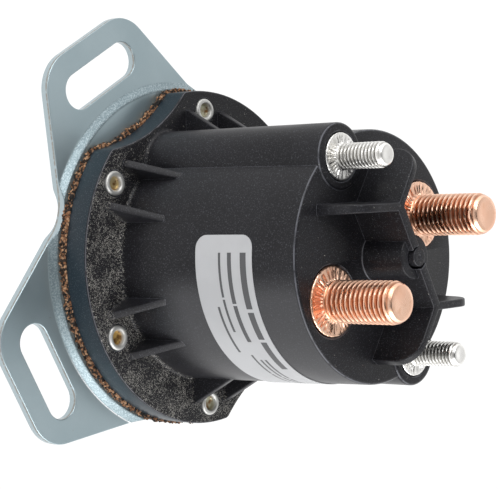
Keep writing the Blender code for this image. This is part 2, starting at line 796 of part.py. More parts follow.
def coil_bobbin():
    tube = BOBBIN_BORE_R + BOBBIN_TUBE
    profile = [
        (BOBBIN_BORE_R, SLEEVE_TOP),
        (BOBBIN_FLANGE_R, SLEEVE_TOP),
        (BOBBIN_FLANGE_R, SLEEVE_TOP - BOBBIN_FLANGE),
        (tube, SLEEVE_TOP - BOBBIN_FLANGE),
        (tube, SLEEVE_LOW + BOBBIN_FLANGE),
        (BOBBIN_FLANGE_R, SLEEVE_LOW + BOBBIN_FLANGE),
        (BOBBIN_FLANGE_R, SLEEVE_LOW),
        (BOBBIN_BORE_R, SLEEVE_LOW),
    ]
    bobbin = turned_part("coil_bobbin", profile, nylon, INNER_STEPS, ring=True)
    slot = (LEAD_START_R - LEAD_SLOT_WIDTH / 2, BOBBIN_FLANGE_R + LEAD_SLOT_WIDTH)
    for side in (-1, 1):
        reach = sorted((side * slot[0], side * slot[1]))
        low = (-LEAD_SLOT_WIDTH / 2, reach[0], SLEEVE_TOP - 2 * BOBBIN_FLANGE)
        high = (LEAD_SLOT_WIDTH / 2, reach[1], SLEEVE_TOP + BOBBIN_FLANGE)
        combine(bobbin, box_tool(f"lead_slot_{side}", low, high), "DIFFERENCE")
    return bobbin


def coil_winding():
    """The wound wire as one ring, and the tape around it."""
    low = SLEEVE_LOW + BOBBIN_FLANGE + GAP
    high = SLEEVE_TOP - BOBBIN_FLANGE - GAP
    profile = [(WINDING_CORE_R, high), (WINDING_R, high), (WINDING_R, low), (WINDING_CORE_R, low)]
    turned_part("coil_winding", profile, enamel, INNER_STEPS, ring=True)
    inner = WINDING_R + GAP
    profile = [(inner, high), (inner + TAPE, high), (inner + TAPE, low), (inner, low)]
    turned_part("winding_tape", profile, tape, INNER_STEPS, ring=True)


def wire_part(name, points, radius, material):
    """A round wire along a chain of points, with closed ends."""
    curve = bpy.data.curves.new(name, "CURVE")
    curve.dimensions = "3D"
    curve.bevel_depth = radius
    curve.bevel_resolution = 2
    curve.use_fill_caps = True
    spline = curve.splines.new("POLY")
    spline.points.add(len(points) - 1)
    for point, place in zip(spline.points, points):
        point.co = (*place, 1)
    return add_part(name, mesh_of_curve(name, curve), material)


def smooth_route(points, count):
    """Points along a Catmull-Rom curve through the given ones."""
    points = [Vector(p) for p in points]
    padded = [2 * points[0] - points[1]] + points + [2 * points[-1] - points[-2]]
    route = []
    for a, b, c, d in zip(padded, padded[1:], padded[2:], padded[3:]):
        slope = c - a
        bend = 2 * a - 5 * b + 4 * c - d
        twist = 3 * b - a - 3 * c + d
        for i in range(count):
            t = i / count
            route.append((2 * b + slope * t + bend * t**2 + twist * t**3) / 2)
    return route + [points[-1]]


def coil_leads():
    """Each end of the winding, up through bobbin and pole plate to the foot of its stud."""
    start = SLEEVE_TOP - BOBBIN_FLANGE
    bend = PLATE_TOP + (CONTACT_LOW - PLATE_TOP) * LEAD_BEND_SHARE
    end = COIL_STUD_LOW - GAP
    for name, side in (("coil_lead_upper", 1), ("coil_lead_lower", -1)):
        stops = [
            (0, side * LEAD_START_R, start),
            (0, side * LEAD_START_R, PLATE_TOP),
            (0, side * (LEAD_START_R + COIL_STUD_AT) / 2, bend),
            (0, side * COIL_STUD_AT, CONTACT_LOW - OVERTRAVEL),
            (0, side * COIL_STUD_AT, end),
        ]
        wire_part(name, smooth_route(stops, LEAD_POINTS), LEAD_R, enamel)


def fixed_core():
    bore = ROD_R + GAP
    profile = [
        (bore, NECK_TOP),
        (CORE_NECK_R, NECK_TOP),
        (CORE_NECK_R, SLEEVE_TOP),
        (CORE_R, SLEEVE_TOP),
        (CORE_R, CORE_LOW),
        (SPRING_POCKET_R, CORE_LOW),
        (SPRING_POCKET_R, CORE_LOW + CORE_POCKET),
        (bore, CORE_LOW + CORE_POCKET),
    ]
    return turned_part("fixed_core", profile, steel, STUD_STEPS, ring=True)


def plunger():
    bore = ROD_R + GAP
    profile = [
        (bore, PLUNGER_TOP - PLUNGER_POCKET),
        (SPRING_POCKET_R, PLUNGER_TOP - PLUNGER_POCKET),
        (SPRING_POCKET_R, PLUNGER_TOP),
        (CORE_R, PLUNGER_TOP),
        (CORE_R, PLUNGER_LOW),
        (bore, PLUNGER_LOW),
    ]
    return turned_part("plunger", profile, steel, STUD_STEPS, ring=True)


def plunger_rod():
    groove_r = ROD_R - GROOVE_DEPTH
    groove_top = CLIP_TOP + GAP
    profile = [
        (0, groove_top + ROD_NOSE),
        (ROD_R, groove_top + ROD_NOSE),
        (ROD_R, groove_top),
        (groove_r, groove_top),
        (groove_r, CLIP_LOW - GAP),
        (ROD_R, CLIP_LOW - GAP),
        (ROD_R, COLLAR_TOP),
        (ROD_COLLAR_R, COLLAR_TOP),
        (ROD_COLLAR_R, COLLAR_LOW),
        (ROD_R, COLLAR_LOW),
        (ROD_R, PLUNGER_LOW),
        (0, PLUNGER_LOW),
    ]
    return turned_part("plunger_rod", profile, brass, SMALL_STEPS)


def stop_pad():
    profile = [(0, PAD_LOW + STOP_PAD), (STOP_PAD_R, PAD_LOW + STOP_PAD), (STOP_PAD_R, PAD_LOW), (0, PAD_LOW)]
    return turned_part("stop_pad", profile, rubber, SMALL_STEPS)


def contact_disc():
    hole = BUSH_R + GAP
    profile = [
        (hole, CONTACT_TOP),
        (CONTACT_R - CONTACT_EDGE, CONTACT_TOP),
        (CONTACT_R, CONTACT_TOP - CONTACT_EDGE),
        (CONTACT_R, CONTACT_LOW),
        (hole, CONTACT_LOW),
    ]
    return turned_part("contact_disc", profile, copper, INNER_STEPS, ring=True)


def contact_insulators():
    """The flanged bush under the contact disc and the washer over it keep the rod apart from the disc."""
    bore = ROD_R + GAP
    bush = [
        (bore, CONTACT_TOP),
        (BUSH_R, CONTACT_TOP),
        (BUSH_R, BUSH_TOP),
        (BUSH_FLANGE_R, BUSH_TOP),
        (BUSH_FLANGE_R, BUSH_LOW),
        (bore, BUSH_LOW),
    ]
    turned_part("contact_bush", bush, nylon, STUD_STEPS, ring=True)
    washer = [
        (bore, WASHER_TOP),
        (BUSH_FLANGE_R, WASHER_TOP),
        (BUSH_FLANGE_R, WASHER_LOW),
        (bore, WASHER_LOW),
    ]
    turned_part("contact_washer", washer, nylon, STUD_STEPS, ring=True)


def retaining_clip():
    inner = ROD_R - GROOVE_DEPTH + GAP
    start, end = CLIP_MOUTH / 2, 2 * math.pi - CLIP_MOUTH / 2
    outline = arc((0, 0), CLIP_R, start, end, CLIP_STEPS)
    outline += arc((0, 0), inner, end, start, CLIP_STEPS)
    return add_part("retaining_clip", plate_mesh("clip", [outline], CLIP_LOW, CLIP_TOP), steel)


def spring(name, radius, wire, turns, low, high):
    """A coil spring between two seats, measured over its wire."""
    count = turns * POINTS_A_TURN
    rise = high - low - 2 * wire
    points = []
    for i in range(count + 1):
        angle = 2 * math.pi * i / POINTS_A_TURN
        points.append((radius * math.cos(angle), radius * math.sin(angle), low + wire + rise * i / count))
    return wire_part(name, points, wire, spring_steel)


def springs():
    low = PLUNGER_TOP - PLUNGER_POCKET + GAP
    high = CORE_LOW + CORE_POCKET - GAP
    spring("return_spring", RETURN_SPRING_R, RETURN_WIRE_R, RETURN_TURNS, low, high)
    low = COLLAR_TOP + GAP
    high = BUSH_LOW - GAP
    spring("contact_spring", CONTACT_SPRING_R, CONTACT_WIRE_R, CONTACT_TURNS, low, high)


def build():
    mounting_bracket()
    cork_gasket()
    housing()
    rivets()
    power_studs()
    coil_studs()
    vent_plug()
    label()
    flux_sleeve()
    front_pole_plate()
    coil_bobbin()
    coil_winding()
    coil_leads()
    fixed_core()
    plunger()
    plunger_rod()
    stop_pad()
    contact_disc()
    contact_insulators()
    retaining_clip()
    springs()


clear_scene()
parts = new_collection("starter_solenoid")
tools = new_collection("joining_and_cutting_shapes")
zinc = new_material("zinc_plated_steel", (0.55, 0.62, 0.64), 0.38, 1.0)
cork = new_material("cork_rubber", (0.16, 0.09, 0.05), 0.95, 0.0)
plastic = new_material("black_moulding", (0.03, 0.03, 0.035), 0.55, 0.0)
rivet_metal = new_material("plated_rivet", (0.70, 0.68, 0.60), 0.35, 1.0)
copper = new_material("copper", (0.80, 0.45, 0.30), 0.3, 1.0)
tin = new_material("tin_plate", (0.72, 0.71, 0.69), 0.3, 1.0)
paper = new_material("label_film", (0.66, 0.67, 0.69), 0.4, 0.0)
steel = new_material("soft_iron", (0.45, 0.45, 0.46), 0.4, 1.0)
nylon = new_material("nylon", (0.75, 0.72, 0.62), 0.5, 0.0)
enamel = new_material("enamelled_copper", (0.50, 0.17, 0.07), 0.35, 0.6)
tape = new_material("coil_tape", (0.60, 0.45, 0.12), 0.5, 0.0)
brass = new_material("brass", (0.70, 0.55, 0.28), 0.35, 1.0)
rubber = new_material("rubber", (0.03, 0.03, 0.03), 0.9, 0.0)
spring_steel = new_material("spring_steel", (0.50, 0.50, 0.50), 0.3, 1.0)
build()
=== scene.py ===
"""The looks of a starter solenoid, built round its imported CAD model.

Shapes are worked out in millimetres as whole numpy arrays and put into meshes in metres. The axis of the
body is Z, its studs point to +Z, and the bracket's ears lie on the floor at height zero.
"""

import json
import logging
import math
from collections.abc import Callable, Sequence
from dataclasses import dataclass, field
from enum import Enum
from functools import reduce

import bmesh
import bpy
import numpy as np
from mathutils import Matrix, Vector
from mathutils.geometry import delaunay_2d_cdt

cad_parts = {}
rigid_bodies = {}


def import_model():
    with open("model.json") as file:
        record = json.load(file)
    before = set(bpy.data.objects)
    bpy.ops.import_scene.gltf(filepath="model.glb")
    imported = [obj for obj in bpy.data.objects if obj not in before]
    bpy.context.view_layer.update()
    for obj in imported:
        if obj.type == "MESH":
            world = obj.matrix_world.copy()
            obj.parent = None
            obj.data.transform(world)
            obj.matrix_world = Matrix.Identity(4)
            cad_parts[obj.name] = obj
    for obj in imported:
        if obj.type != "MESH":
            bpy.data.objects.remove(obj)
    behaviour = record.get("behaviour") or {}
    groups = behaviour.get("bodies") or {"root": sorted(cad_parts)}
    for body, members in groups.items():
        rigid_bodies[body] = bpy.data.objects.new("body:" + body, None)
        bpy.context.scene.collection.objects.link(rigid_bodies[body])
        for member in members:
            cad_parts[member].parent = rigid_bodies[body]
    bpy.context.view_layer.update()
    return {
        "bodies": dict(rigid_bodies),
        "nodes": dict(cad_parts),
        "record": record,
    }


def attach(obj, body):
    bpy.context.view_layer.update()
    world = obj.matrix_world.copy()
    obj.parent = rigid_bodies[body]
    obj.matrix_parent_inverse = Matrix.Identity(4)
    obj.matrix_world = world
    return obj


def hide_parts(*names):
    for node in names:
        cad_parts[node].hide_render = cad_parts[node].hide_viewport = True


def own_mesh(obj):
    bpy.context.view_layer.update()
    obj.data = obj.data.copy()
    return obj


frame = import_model()

LOG = logging.getLogger("starter_solenoid")
MM = 0.001
TURN = 2 * math.pi
ROUND_STEPS = 4
GUARD = 0.12
MERGE = 0.000001
SHARP = math.radians(34)
HASH_DIRECTION = (127.1, 311.7, 74.7)
HASH_GAIN = 43758.5453
BODY = "solenoid"
RIVETS = 6
RIVETS_AT = 29.7
POWER_AT = 15.4
COIL_AT = 21.5
# radius over which the normal is averaged to find edges for painted highlight lines
EDGE_HIGHLIGHT_RADIUS = 0.00014
WHITE = (1.0, 1.0, 1.0)
PATTERN_INPUTS = {"Coordinate": "Vector", "Stretch": "Vector", "Scale": "Float"}
DASH_INPUTS = ("Centre", "Half Height", "Start", "End", "Dashes", "Fill")

Place = tuple[float, float]
Colour = tuple[float, float, float]
Height = Callable[[np.ndarray], np.ndarray]
Socket = bpy.types.NodeSocket
Node = bpy.types.Node
Value = Socket | float | Sequence[float]


class Slot(Enum):
    """The record's material slots."""

    ZINC = "zinc"
    CORK = "cork"
    MOULDING = "moulding"
    RIVET = "rivet"
    COPPER = "copper"
    TIN = "tin"
    LABEL = "label"
    IRON = "iron"
    NYLON = "nylon"
    WINDING = "winding"
    TAPE = "tape"
    BRASS = "brass"
    RUBBER = "rubber"
    SPRING = "spring"


Materials = dict[Slot, bpy.types.Material]


@dataclass
class Shell:
    """A closed skin: points in millimetres, and faces as index arrays of three or four columns."""

    points: np.ndarray
    faces: list[np.ndarray]

    def moved(self, change: Callable[[np.ndarray], np.ndarray]) -> "Shell":
        """The shell with its points passed through a function."""
        return Shell(change(self.points), self.faces)

    def turned(self, angle: float) -> "Shell":
        """The shell turned about the Z axis."""
        c, s = math.cos(angle), math.sin(angle)
        return self.moved(lambda p: p @ np.array([[c, s, 0], [-s, c, 0], [0, 0, 1]]))

    @staticmethod
    def together(shells: Sequence["Shell"]) -> "Shell":
        """Joins shells that don't touch.

        Args:
            shells: The shells.

        Returns:
            One shell with the points and faces of them all.
        """
        points, faces, count = [], [], 0
        for shell in shells:
            points.append(shell.points)
            faces += [block + count for block in shell.faces]
            count += len(shell.points)
        return Shell(np.vstack(points), faces)


def grid_quads(rows: int, columns: int) -> np.ndarray:
    """Quads of a grid that wraps from its last column to its first.

    Args:
        rows: Rows of points.
        columns: Points in a row.

    Returns:
        Four point numbers for each quad.
    """
    near = np.arange(rows * columns).reshape(rows, columns)
    far = np.roll(near, -1, axis=1)
    return np.stack([near[:-1], near[1:], far[1:], far[:-1]], axis=-1).reshape(-1, 4)


def skin(radius: np.ndarray, height: np.ndarray, centre: Place = (0, 0)) -> Shell:
    """A surface round an upright axis.

    Point (row, column) lies at the angle of its column, at radius[row, column] from the axis and at
    height[row, column]. A first or last row of radius 0 closes the surface.

    Args:
        radius: Distances from the axis.
        height: Heights, of the same shape.
        centre: Where the axis stands.

    Returns:
        The surface.
    """
    angle = np.arange(radius.shape[1]) * TURN / radius.shape[1]
    x = centre[0] + radius * np.cos(angle)
    y = centre[1] + radius * np.sin(angle)
    points = np.stack([x, y, height], axis=-1).reshape(-1, 3)
    return Shell(points, [grid_quads(*radius.shape)])


def revolved(profile: Sequence[Place] | np.ndarray, steps: int, centre: Place = (0, 0)) -> Shell:
    """The surface of revolution of a chain of points.

    Args:
        profile: Radius and height of each point. The chain starts and ends on the axis.
        steps: Points round the axis.
        centre: Where the axis stands.

    Returns:
        The surface.
    """
    chain = np.array(profile)
    ones = np.ones((1, steps))
    return skin(chain[:, :1] * ones, chain[:, 1:] * ones, centre)


def rounded(corners: Sequence[tuple[float, ...]], closed: bool = False, steps: int = 6) -> np.ndarray:
    """A chain of straight lines with arcs for corners.

    An arc of radius r touches both lines at r * tan(turn / 2) from their corner.

    Args:
        corners: Each corner's x, y and radius.
        closed: Whether the last corner is joined to the first.
        steps: Pieces of an arc.

    Returns:
        The points of the chain.
    """
    points = np.array([corner[:2] for corner in corners], float)
    chain = []
    for i, (_, _, radius) in enumerate(corners):
        if radius == 0 or (not closed and i in (0, len(corners) - 1)):
            chain.append(points[i : i + 1])
            continue
        before = points[i] - points[i - 1]
        after = points[(i + 1) % len(points)] - points[i]
        before /= np.linalg.norm(before)
        after /= np.linalg.norm(after)
        turn = math.atan2(before[0] * after[1] - before[1] * after[0], before @ after)
        start = points[i] - before * radius * abs(math.tan(turn / 2))
        side = math.copysign(radius, turn)
        centre = start + side * np.array([-before[1], before[0]])
        angle = math.atan2(*(start - centre)[::-1]) + turn * np.linspace(0, 1, steps + 1)
        chain.append(centre + radius * np.column_stack([np.cos(angle), np.sin(angle)]))
    return np.vstack(chain)


def arc(centre: Place, radius: float, start: float, end: float, steps: int) -> np.ndarray:
    """Points from one angle to another round a centre, both ends included."""
    angle = np.linspace(start, end, steps + 1)
    return np.column_stack([centre[0] + radius * np.cos(angle), centre[1] + radius * np.sin(angle)])


def ring(centre: Place, radius: float, steps: int) -> np.ndarray:
    """A hole's outline, which runs clockwise."""
    return arc(centre, radius, 0, -TURN, steps)[:-1]


def rivet_places() -> list[Place]:
    """The centres of the rivets, evenly round the axis from +X."""
    angles = [i * TURN / RIVETS for i in range(RIVETS)]
    return [(RIVETS_AT * math.cos(angle), RIVETS_AT * math.sin(angle)) for angle in angles]


def swung(points: np.ndarray, angle: float) -> np.ndarray:
    """Flat points turned about the origin."""
    c, s = math.cos(angle), math.sin(angle)
    return points @ np.array([[c, s], [-s, c]])


def evenly(loop: np.ndarray, spacing: float) -> np.ndarray:
    """Points at even steps of length round a closed loop.

    Args:
        loop: The loop's corners.
        spacing: The wanted step, which is rounded to fit the loop.

    Returns:
        The points.
    """
    closed = np.vstack([loop, loop[:1]])
    length = np.concatenate([[0], np.cumsum(np.hypot(*np.diff(closed, axis=0).T))])
    at = np.linspace(0, length[-1], round(length[-1] / spacing), endpoint=False)
    return np.column_stack([np.interp(at, length, closed[:, 0]), np.interp(at, length, closed[:, 1])])


def outward(loop: np.ndarray) -> np.ndarray:
    """Unit vectors out of the material, which lies to the left of the loop.

    Args:
        loop: The loop's points.

    Returns:
        For each point, the way square to the line between its neighbours.
    """
    along = np.roll(loop, -1, axis=0) - np.roll(loop, 1, axis=0)
    normal = np.column_stack([along[:, 1], -along[:, 0]])
    return normal / np.linalg.norm(normal, axis=1, keepdims=True)


def inside(points: np.ndarray, loop: np.ndarray) -> np.ndarray:
    """Whether each point lies in a loop: a ray from it to +X crosses the loop an odd number of times.

    Args:
        points: Flat points.
        loop: The loop's points.

    Returns:
        True or false for each point.
    """
    x, y = points[:, :1], points[:, 1:2]
    (ax, ay), (bx, by) = loop.T, np.roll(loop, -1, axis=0).T
    crosses = (ay > y) != (by > y)
    rise = np.where(by == ay, 1, by - ay)
    return (crosses & (x < ax + (y - ay) * (bx - ax) / rise)).sum(axis=1) % 2 == 1


def smooth(t: np.ndarray) -> np.ndarray:
    """The S-curve 3t^2 - 2t^3, held at its ends."""
    t = np.clip(t, 0, 1)
    return t * t * (3 - 2 * t)


def lattice_noise(points: np.ndarray, cell: float, seed: float) -> np.ndarray:
    """Smooth random values from 0 to 1.

    Each corner of a cubic lattice has a value, the fraction of a large multiple of a sine, and a point
    takes the mean of its cell's corners, weighed by S-curves.

    Args:
        points: Places in millimetres.
        cell: Size of a cell.
        seed: Another seed gives another pattern.

    Returns:
        One value for each point.
    """
    base = np.floor(points / cell)
    weight = smooth(points / cell - base)
    total = np.zeros(len(points))
    for corner in np.ndindex(2, 2, 2):
        hashed = np.sin((base + corner) @ np.array(HASH_DIRECTION) + seed) * HASH_GAIN
        total += (hashed - np.floor(hashed)) * np.prod(np.where(corner, weight, 1 - weight), axis=1)
    return total


def flat(height: float) -> Height:
    """A face at one height."""
    return lambda p: np.full(p.shape[:-1], height)


@dataclass(frozen=True)
class Plate:
    """A sheet between two faces, with rounded edges.

    Its outline runs anticlockwise and its holes run clockwise.
    """

    loops: list[np.ndarray]
    top: Height
    bottom: Height
    upper_round: float
    lower_round: float
    inner: np.ndarray | None = None
    side_rows: int = 1

    def section(self) -> np.ndarray:
        """The edge's section: a quarter circle, a straight side and a quarter circle.

        Returns:
            Rows from the top face to the bottom: distance inwards, share of the way down, drop.
        """
        angle = np.linspace(0, math.pi / 2, ROUND_STEPS + 1)
        zero = np.zeros_like(angle)
        share = np.arange(1, self.side_rows) / self.side_rows
        upper = self.upper_round * np.column_stack([1 - np.sin(angle), zero, 1 - np.cos(angle)])
        lower = self.lower_round * np.column_stack([1 - np.sin(angle), zero, np.cos(angle) - 1])
        lower[:, 1] = 1
        drop = self.upper_round * (1 - share) - self.lower_round * share
        side = np.column_stack([np.zeros_like(share), share, drop])
        first = [[self.upper_round + GUARD, 0, 0]]
        last = [[self.lower_round + GUARD, 1, 0]]
        return np.vstack([first, upper, side, lower[::-1], last])

    def edge(self, loop: np.ndarray) -> Shell:
        """The section carried round one loop.

        Args:
            loop: The outline or a hole.

        Returns:
            The edge as an open band, from inside the top face to inside the bottom.
        """
        rows = self.section()[:, :, None]
        place = loop - outward(loop) * rows[:, :1]
        share, drop = rows[:, 1], rows[:, 2]
        height = self.top(place) * (1 - share) + self.bottom(place) * share - drop
        points = np.concatenate([place, height[..., None]], axis=-1).reshape(-1, 3)
        return Shell(points, [grid_quads(len(rows), len(loop))])

    def cap(self, inset: float, face: Height) -> Shell:
        """One face, as the Delaunay triangles of the loops' inner rims and of the inner points.

        Args:
            inset: How far the edge's round reaches in.
            face: The face's height.

        Returns:
            The face, which meets the bands of the edge.
        """
        rims = [loop - outward(loop) * (inset + GUARD) for loop in self.loops]
        points = np.vstack(rims)
        starts = np.cumsum([0] + [len(rim) for rim in rims])
        edges = []
        for start, rim in zip(starts, rims):
            index = start + np.arange(len(rim))
            edges += np.column_stack([index, np.roll(index, -1)]).tolist()
        if self.inner is not None:
            kept = self.inner[self.within(self.inner, rims)]
            apart = np.linalg.norm(kept[:, None] - points[None], axis=-1).min(axis=1)
            points = np.vstack([points, kept[apart > GUARD]])
        made, _, triangles, *_ = delaunay_2d_cdt(points.tolist(), edges, [], 0, MERGE, False)
        place = np.array(made)
        triangles = np.array(triangles)
        triangles = triangles[self.within(place[triangles].mean(axis=1), rims)]
        return Shell(np.column_stack([place, face(place)]), [triangles])

    @staticmethod
    def within(points: np.ndarray, rims: list[np.ndarray]) -> np.ndarray:
        """Whether each point lies in the first rim and in none of the others.

        Args:
            points: Flat points.
            rims: The outline's rim and then the holes'.

        Returns:
            True or false for each point.
        """
        kept = inside(points, rims[0])
        for rim in rims[1:]:
            kept &= ~inside(points, rim)
        return kept

    def shell(self) -> Shell:
        """The whole sheet."""
        caps = [self.cap(self.upper_round, self.top), self.cap(self.lower_round, self.bottom)]
        return Shell.together([self.edge(loop) for loop in self.loops] + caps)


def mesh_of(name: str, shell: Shell) -> bpy.types.Mesh:
    """A mesh in metres, with its doubles merged and its faces turned outwards.

    Args:
        name: The mesh's name.
        shell: Its shape.

    Returns:
        The mesh.
    """
    mesh = bpy.data.meshes.new(name)
    faces = [row for block in shell.faces for row in block.tolist()]
    mesh.from_pydata((shell.points * MM).tolist(), [], faces)
    cage = bmesh.new()
    cage.from_mesh(mesh)
    bmesh.ops.remove_doubles(cage, verts=cage.verts, dist=MERGE)
    bmesh.ops.recalc_face_normals(cage, faces=cage.faces)
    cage.to_mesh(mesh)
    cage.free()
    return mesh


def shown(name: str, data: bpy.types.ID | None) -> bpy.types.Object:
    """Puts a new object in the scene.

    Args:
        name: Its name.
        data: Its mesh, camera or light.

    Returns:
        The object.
    """
    obj = bpy.data.objects.new(name, data)
    bpy.context.scene.collection.objects.link(obj)
    return obj


def carved(name: str, base: Shell, added: Sequence[Shell], cut: Sequence[Shell]) -> bpy.types.Mesh:
    """One mesh of a shell with others joined to it and then others cut from it.

    Args:
        name: The mesh's name.
        base: The first shell.
        added: Shells that overlap it.
        cut: Shells whose insides are taken away.

    Returns:
        The mesh.
    """
    target = shown(name, mesh_of(name, base))
    helpers = [target]
    steps = [("UNION", shell) for shell in added] + [("DIFFERENCE", shell) for shell in cut]
    for operation, shell in steps:
        tool = shown("tool", mesh_of("tool", shell))
        helpers.append(tool)
        modifier = target.modifiers.new("step", "BOOLEAN")
        modifier.operation = operation
        modifier.solver = "MANIFOLD"
        modifier.object = tool
    bpy.context.view_layer.update()
    graph = bpy.context.evaluated_depsgraph_get()
    mesh = bpy.data.meshes.new_from_object(target.evaluated_get(graph))
    for helper in helpers:
        bpy.data.objects.remove(helper)
    return mesh


def points_of(mesh: bpy.types.Mesh) -> np.ndarray:
    """Reads a mesh's points.

    Args:
        mesh: The mesh.

    Returns:
        The points in millimetres.
    """
    numbers = np.empty(len(mesh.vertices) * 3)
    mesh.vertices.foreach_get("co", numbers)
    return numbers.reshape(-1, 3) / MM


def mark(mesh: bpy.types.Mesh, name: str, values: np.ndarray) -> None:
    """Keeps one number for each point, which a material reads as an attribute."""
    mesh.attributes.new(name, "FLOAT", "POINT").data.foreach_set("value", values.astype(np.float32))


def put(
    mesh: bpy.types.Mesh, slot: Slot, materials: Materials, *nodes: str, body: str = BODY
) -> bpy.types.Object:
    """Shows a mesh as a piece of the solenoid.

    Args:
        mesh: The piece's shape, in its place.
        slot: The record's slot that it takes its finish from.
        materials: The finish of each slot.
        nodes: The CAD nodes that it stands for.
        body: The body that it moves with.

    Returns:
        The piece.
    """
    mesh.shade_smooth()
    mesh.set_sharp_from_angle(angle=SHARP)
    mesh.materials.clear()
    mesh.materials.append(materials[slot])
    piece = shown(mesh.name, mesh)
    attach(piece, body)
    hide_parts(*nodes)
    LOG.info("%s: %d points", piece.name, len(mesh.vertices))
    return piece


def rgba(colour: Socket | Colour) -> Socket | tuple[float, ...]:
    """A colour with full alpha. A socket stays as it is."""
    return colour if isinstance(colour, Socket) else (*colour, 1.0)


@dataclass(frozen=True)
class Graph:
    """A shader's node tree, with a short method for each kind of step."""

    tree: bpy.types.NodeTree

    def fill(self, socket: Socket, value: Value) -> None:
        """Links an input to another socket, or sets its value.

        Args:
            socket: The input.
            value: The socket or the value.
        """
        if isinstance(value, Socket):
            self.tree.links.new(value, socket)
        else:
            socket.default_value = value

    def add(self, kind: str, inputs: dict[str | int, Value] | None = None, **settings: object) -> Node:
        """Adds a node.

        Args:
            kind: The node's type.
            inputs: A socket or a value for an input, by its name or number.
            settings: The node's own settings.

        Returns:
            The node.
        """
        node = self.tree.nodes.new(kind)
        for name, value in settings.items():
            setattr(node, name, value)
        for name, value in (inputs or {}).items():
            self.fill(node.inputs[name], value)
        return node

    def math(self, operation: str, *values: Value, clamp: bool = False) -> Socket:
        """The result of a Math node."""
        inputs = dict(enumerate(values))
        return self.add("ShaderNodeMath", inputs, operation=operation, use_clamp=clamp).outputs[0]

    def times(self, *values: Value) -> Socket:
        """The product of the values."""
        return reduce(lambda first, second: self.math("MULTIPLY", first, second), values)

    def plus(self, *values: Value) -> Socket:
        """The sum of the values."""
        return reduce(lambda first, second: self.math("ADD", first, second), values)

    def less(self, value: Value, taken: Value) -> Socket:
        """The first value less the second."""
        return self.math("SUBTRACT", value, taken)

    def higher(self, first: Value, second: Value) -> Socket:
        """The higher of two values."""
        return self.math("MAXIMUM", first, second)

    def ramp(self, value: Value, low: Value, high: Value) -> Socket:
        """A smooth step from 0 at the low value to 1 at the high one."""
        inputs = {"Value": value, "From Min": low, "From Max": high}
        return self.add("ShaderNodeMapRange", inputs, interpolation_type="SMOOTHSTEP").outputs["Result"]

    def window(self, value: Value, low: float, high: float, soft: float) -> Socket:
        """1 between the two ends, falling to 0 over the soft width outside them."""
        return self.less(self.ramp(value, low - soft, low), self.ramp(value, high, high + soft))

    def mix(self, share: Value, first: Socket | Colour, second: Socket | Colour) -> Socket:
        """Blends two colours.

        Args:
            share: The second colour's share.
            first: A colour.
            second: Another.

        Returns:
            The blend.
        """
        node = self.add("ShaderNodeMix", data_type="RGBA")
        given = {("Factor", "VALUE"): share, ("A", "RGBA"): rgba(first), ("B", "RGBA"): rgba(second)}
        for socket in node.inputs:
            if (socket.name, socket.type) in given:
                self.fill(socket, given[socket.name, socket.type])
        return next(socket for socket in node.outputs if socket.type == "RGBA")

    def coordinate(self, name: str) -> Socket:
        """One of the Texture Coordinate node's outputs."""
        return self.add("ShaderNodeTexCoord").outputs[name]

    def parts(self, vector: Socket) -> tuple[Socket, ...]:
        """The X, Y and Z of a vector."""
        return tuple(self.add("ShaderNodeSeparateXYZ", {0: vector}).outputs)

    def stretched(self, vector: Socket, by: Value) -> Socket:
        """A vector with each of its parts multiplied."""
        return self.add("ShaderNodeVectorMath", {0: vector, 1: by}, operation="MULTIPLY").outputs[0]

    def dot(self, first: Socket, second: Value) -> Socket:
        """The dot product of two vectors."""
        node = self.add("ShaderNodeVectorMath", {0: first, 1: second}, operation="DOT_PRODUCT")
        return node.outputs["Value"]

    def noise(self, place: Socket, scale: Value, detail: float = 2.0, distortion: float = 0.0) -> Socket:
        """Cloudy noise, which mostly lies between 0.3 and 0.7."""
        inputs = {"Vector": place, "Scale": scale, "Detail": detail, "Distortion": distortion}
        return self.add("ShaderNodeTexNoise", inputs).outputs[0]


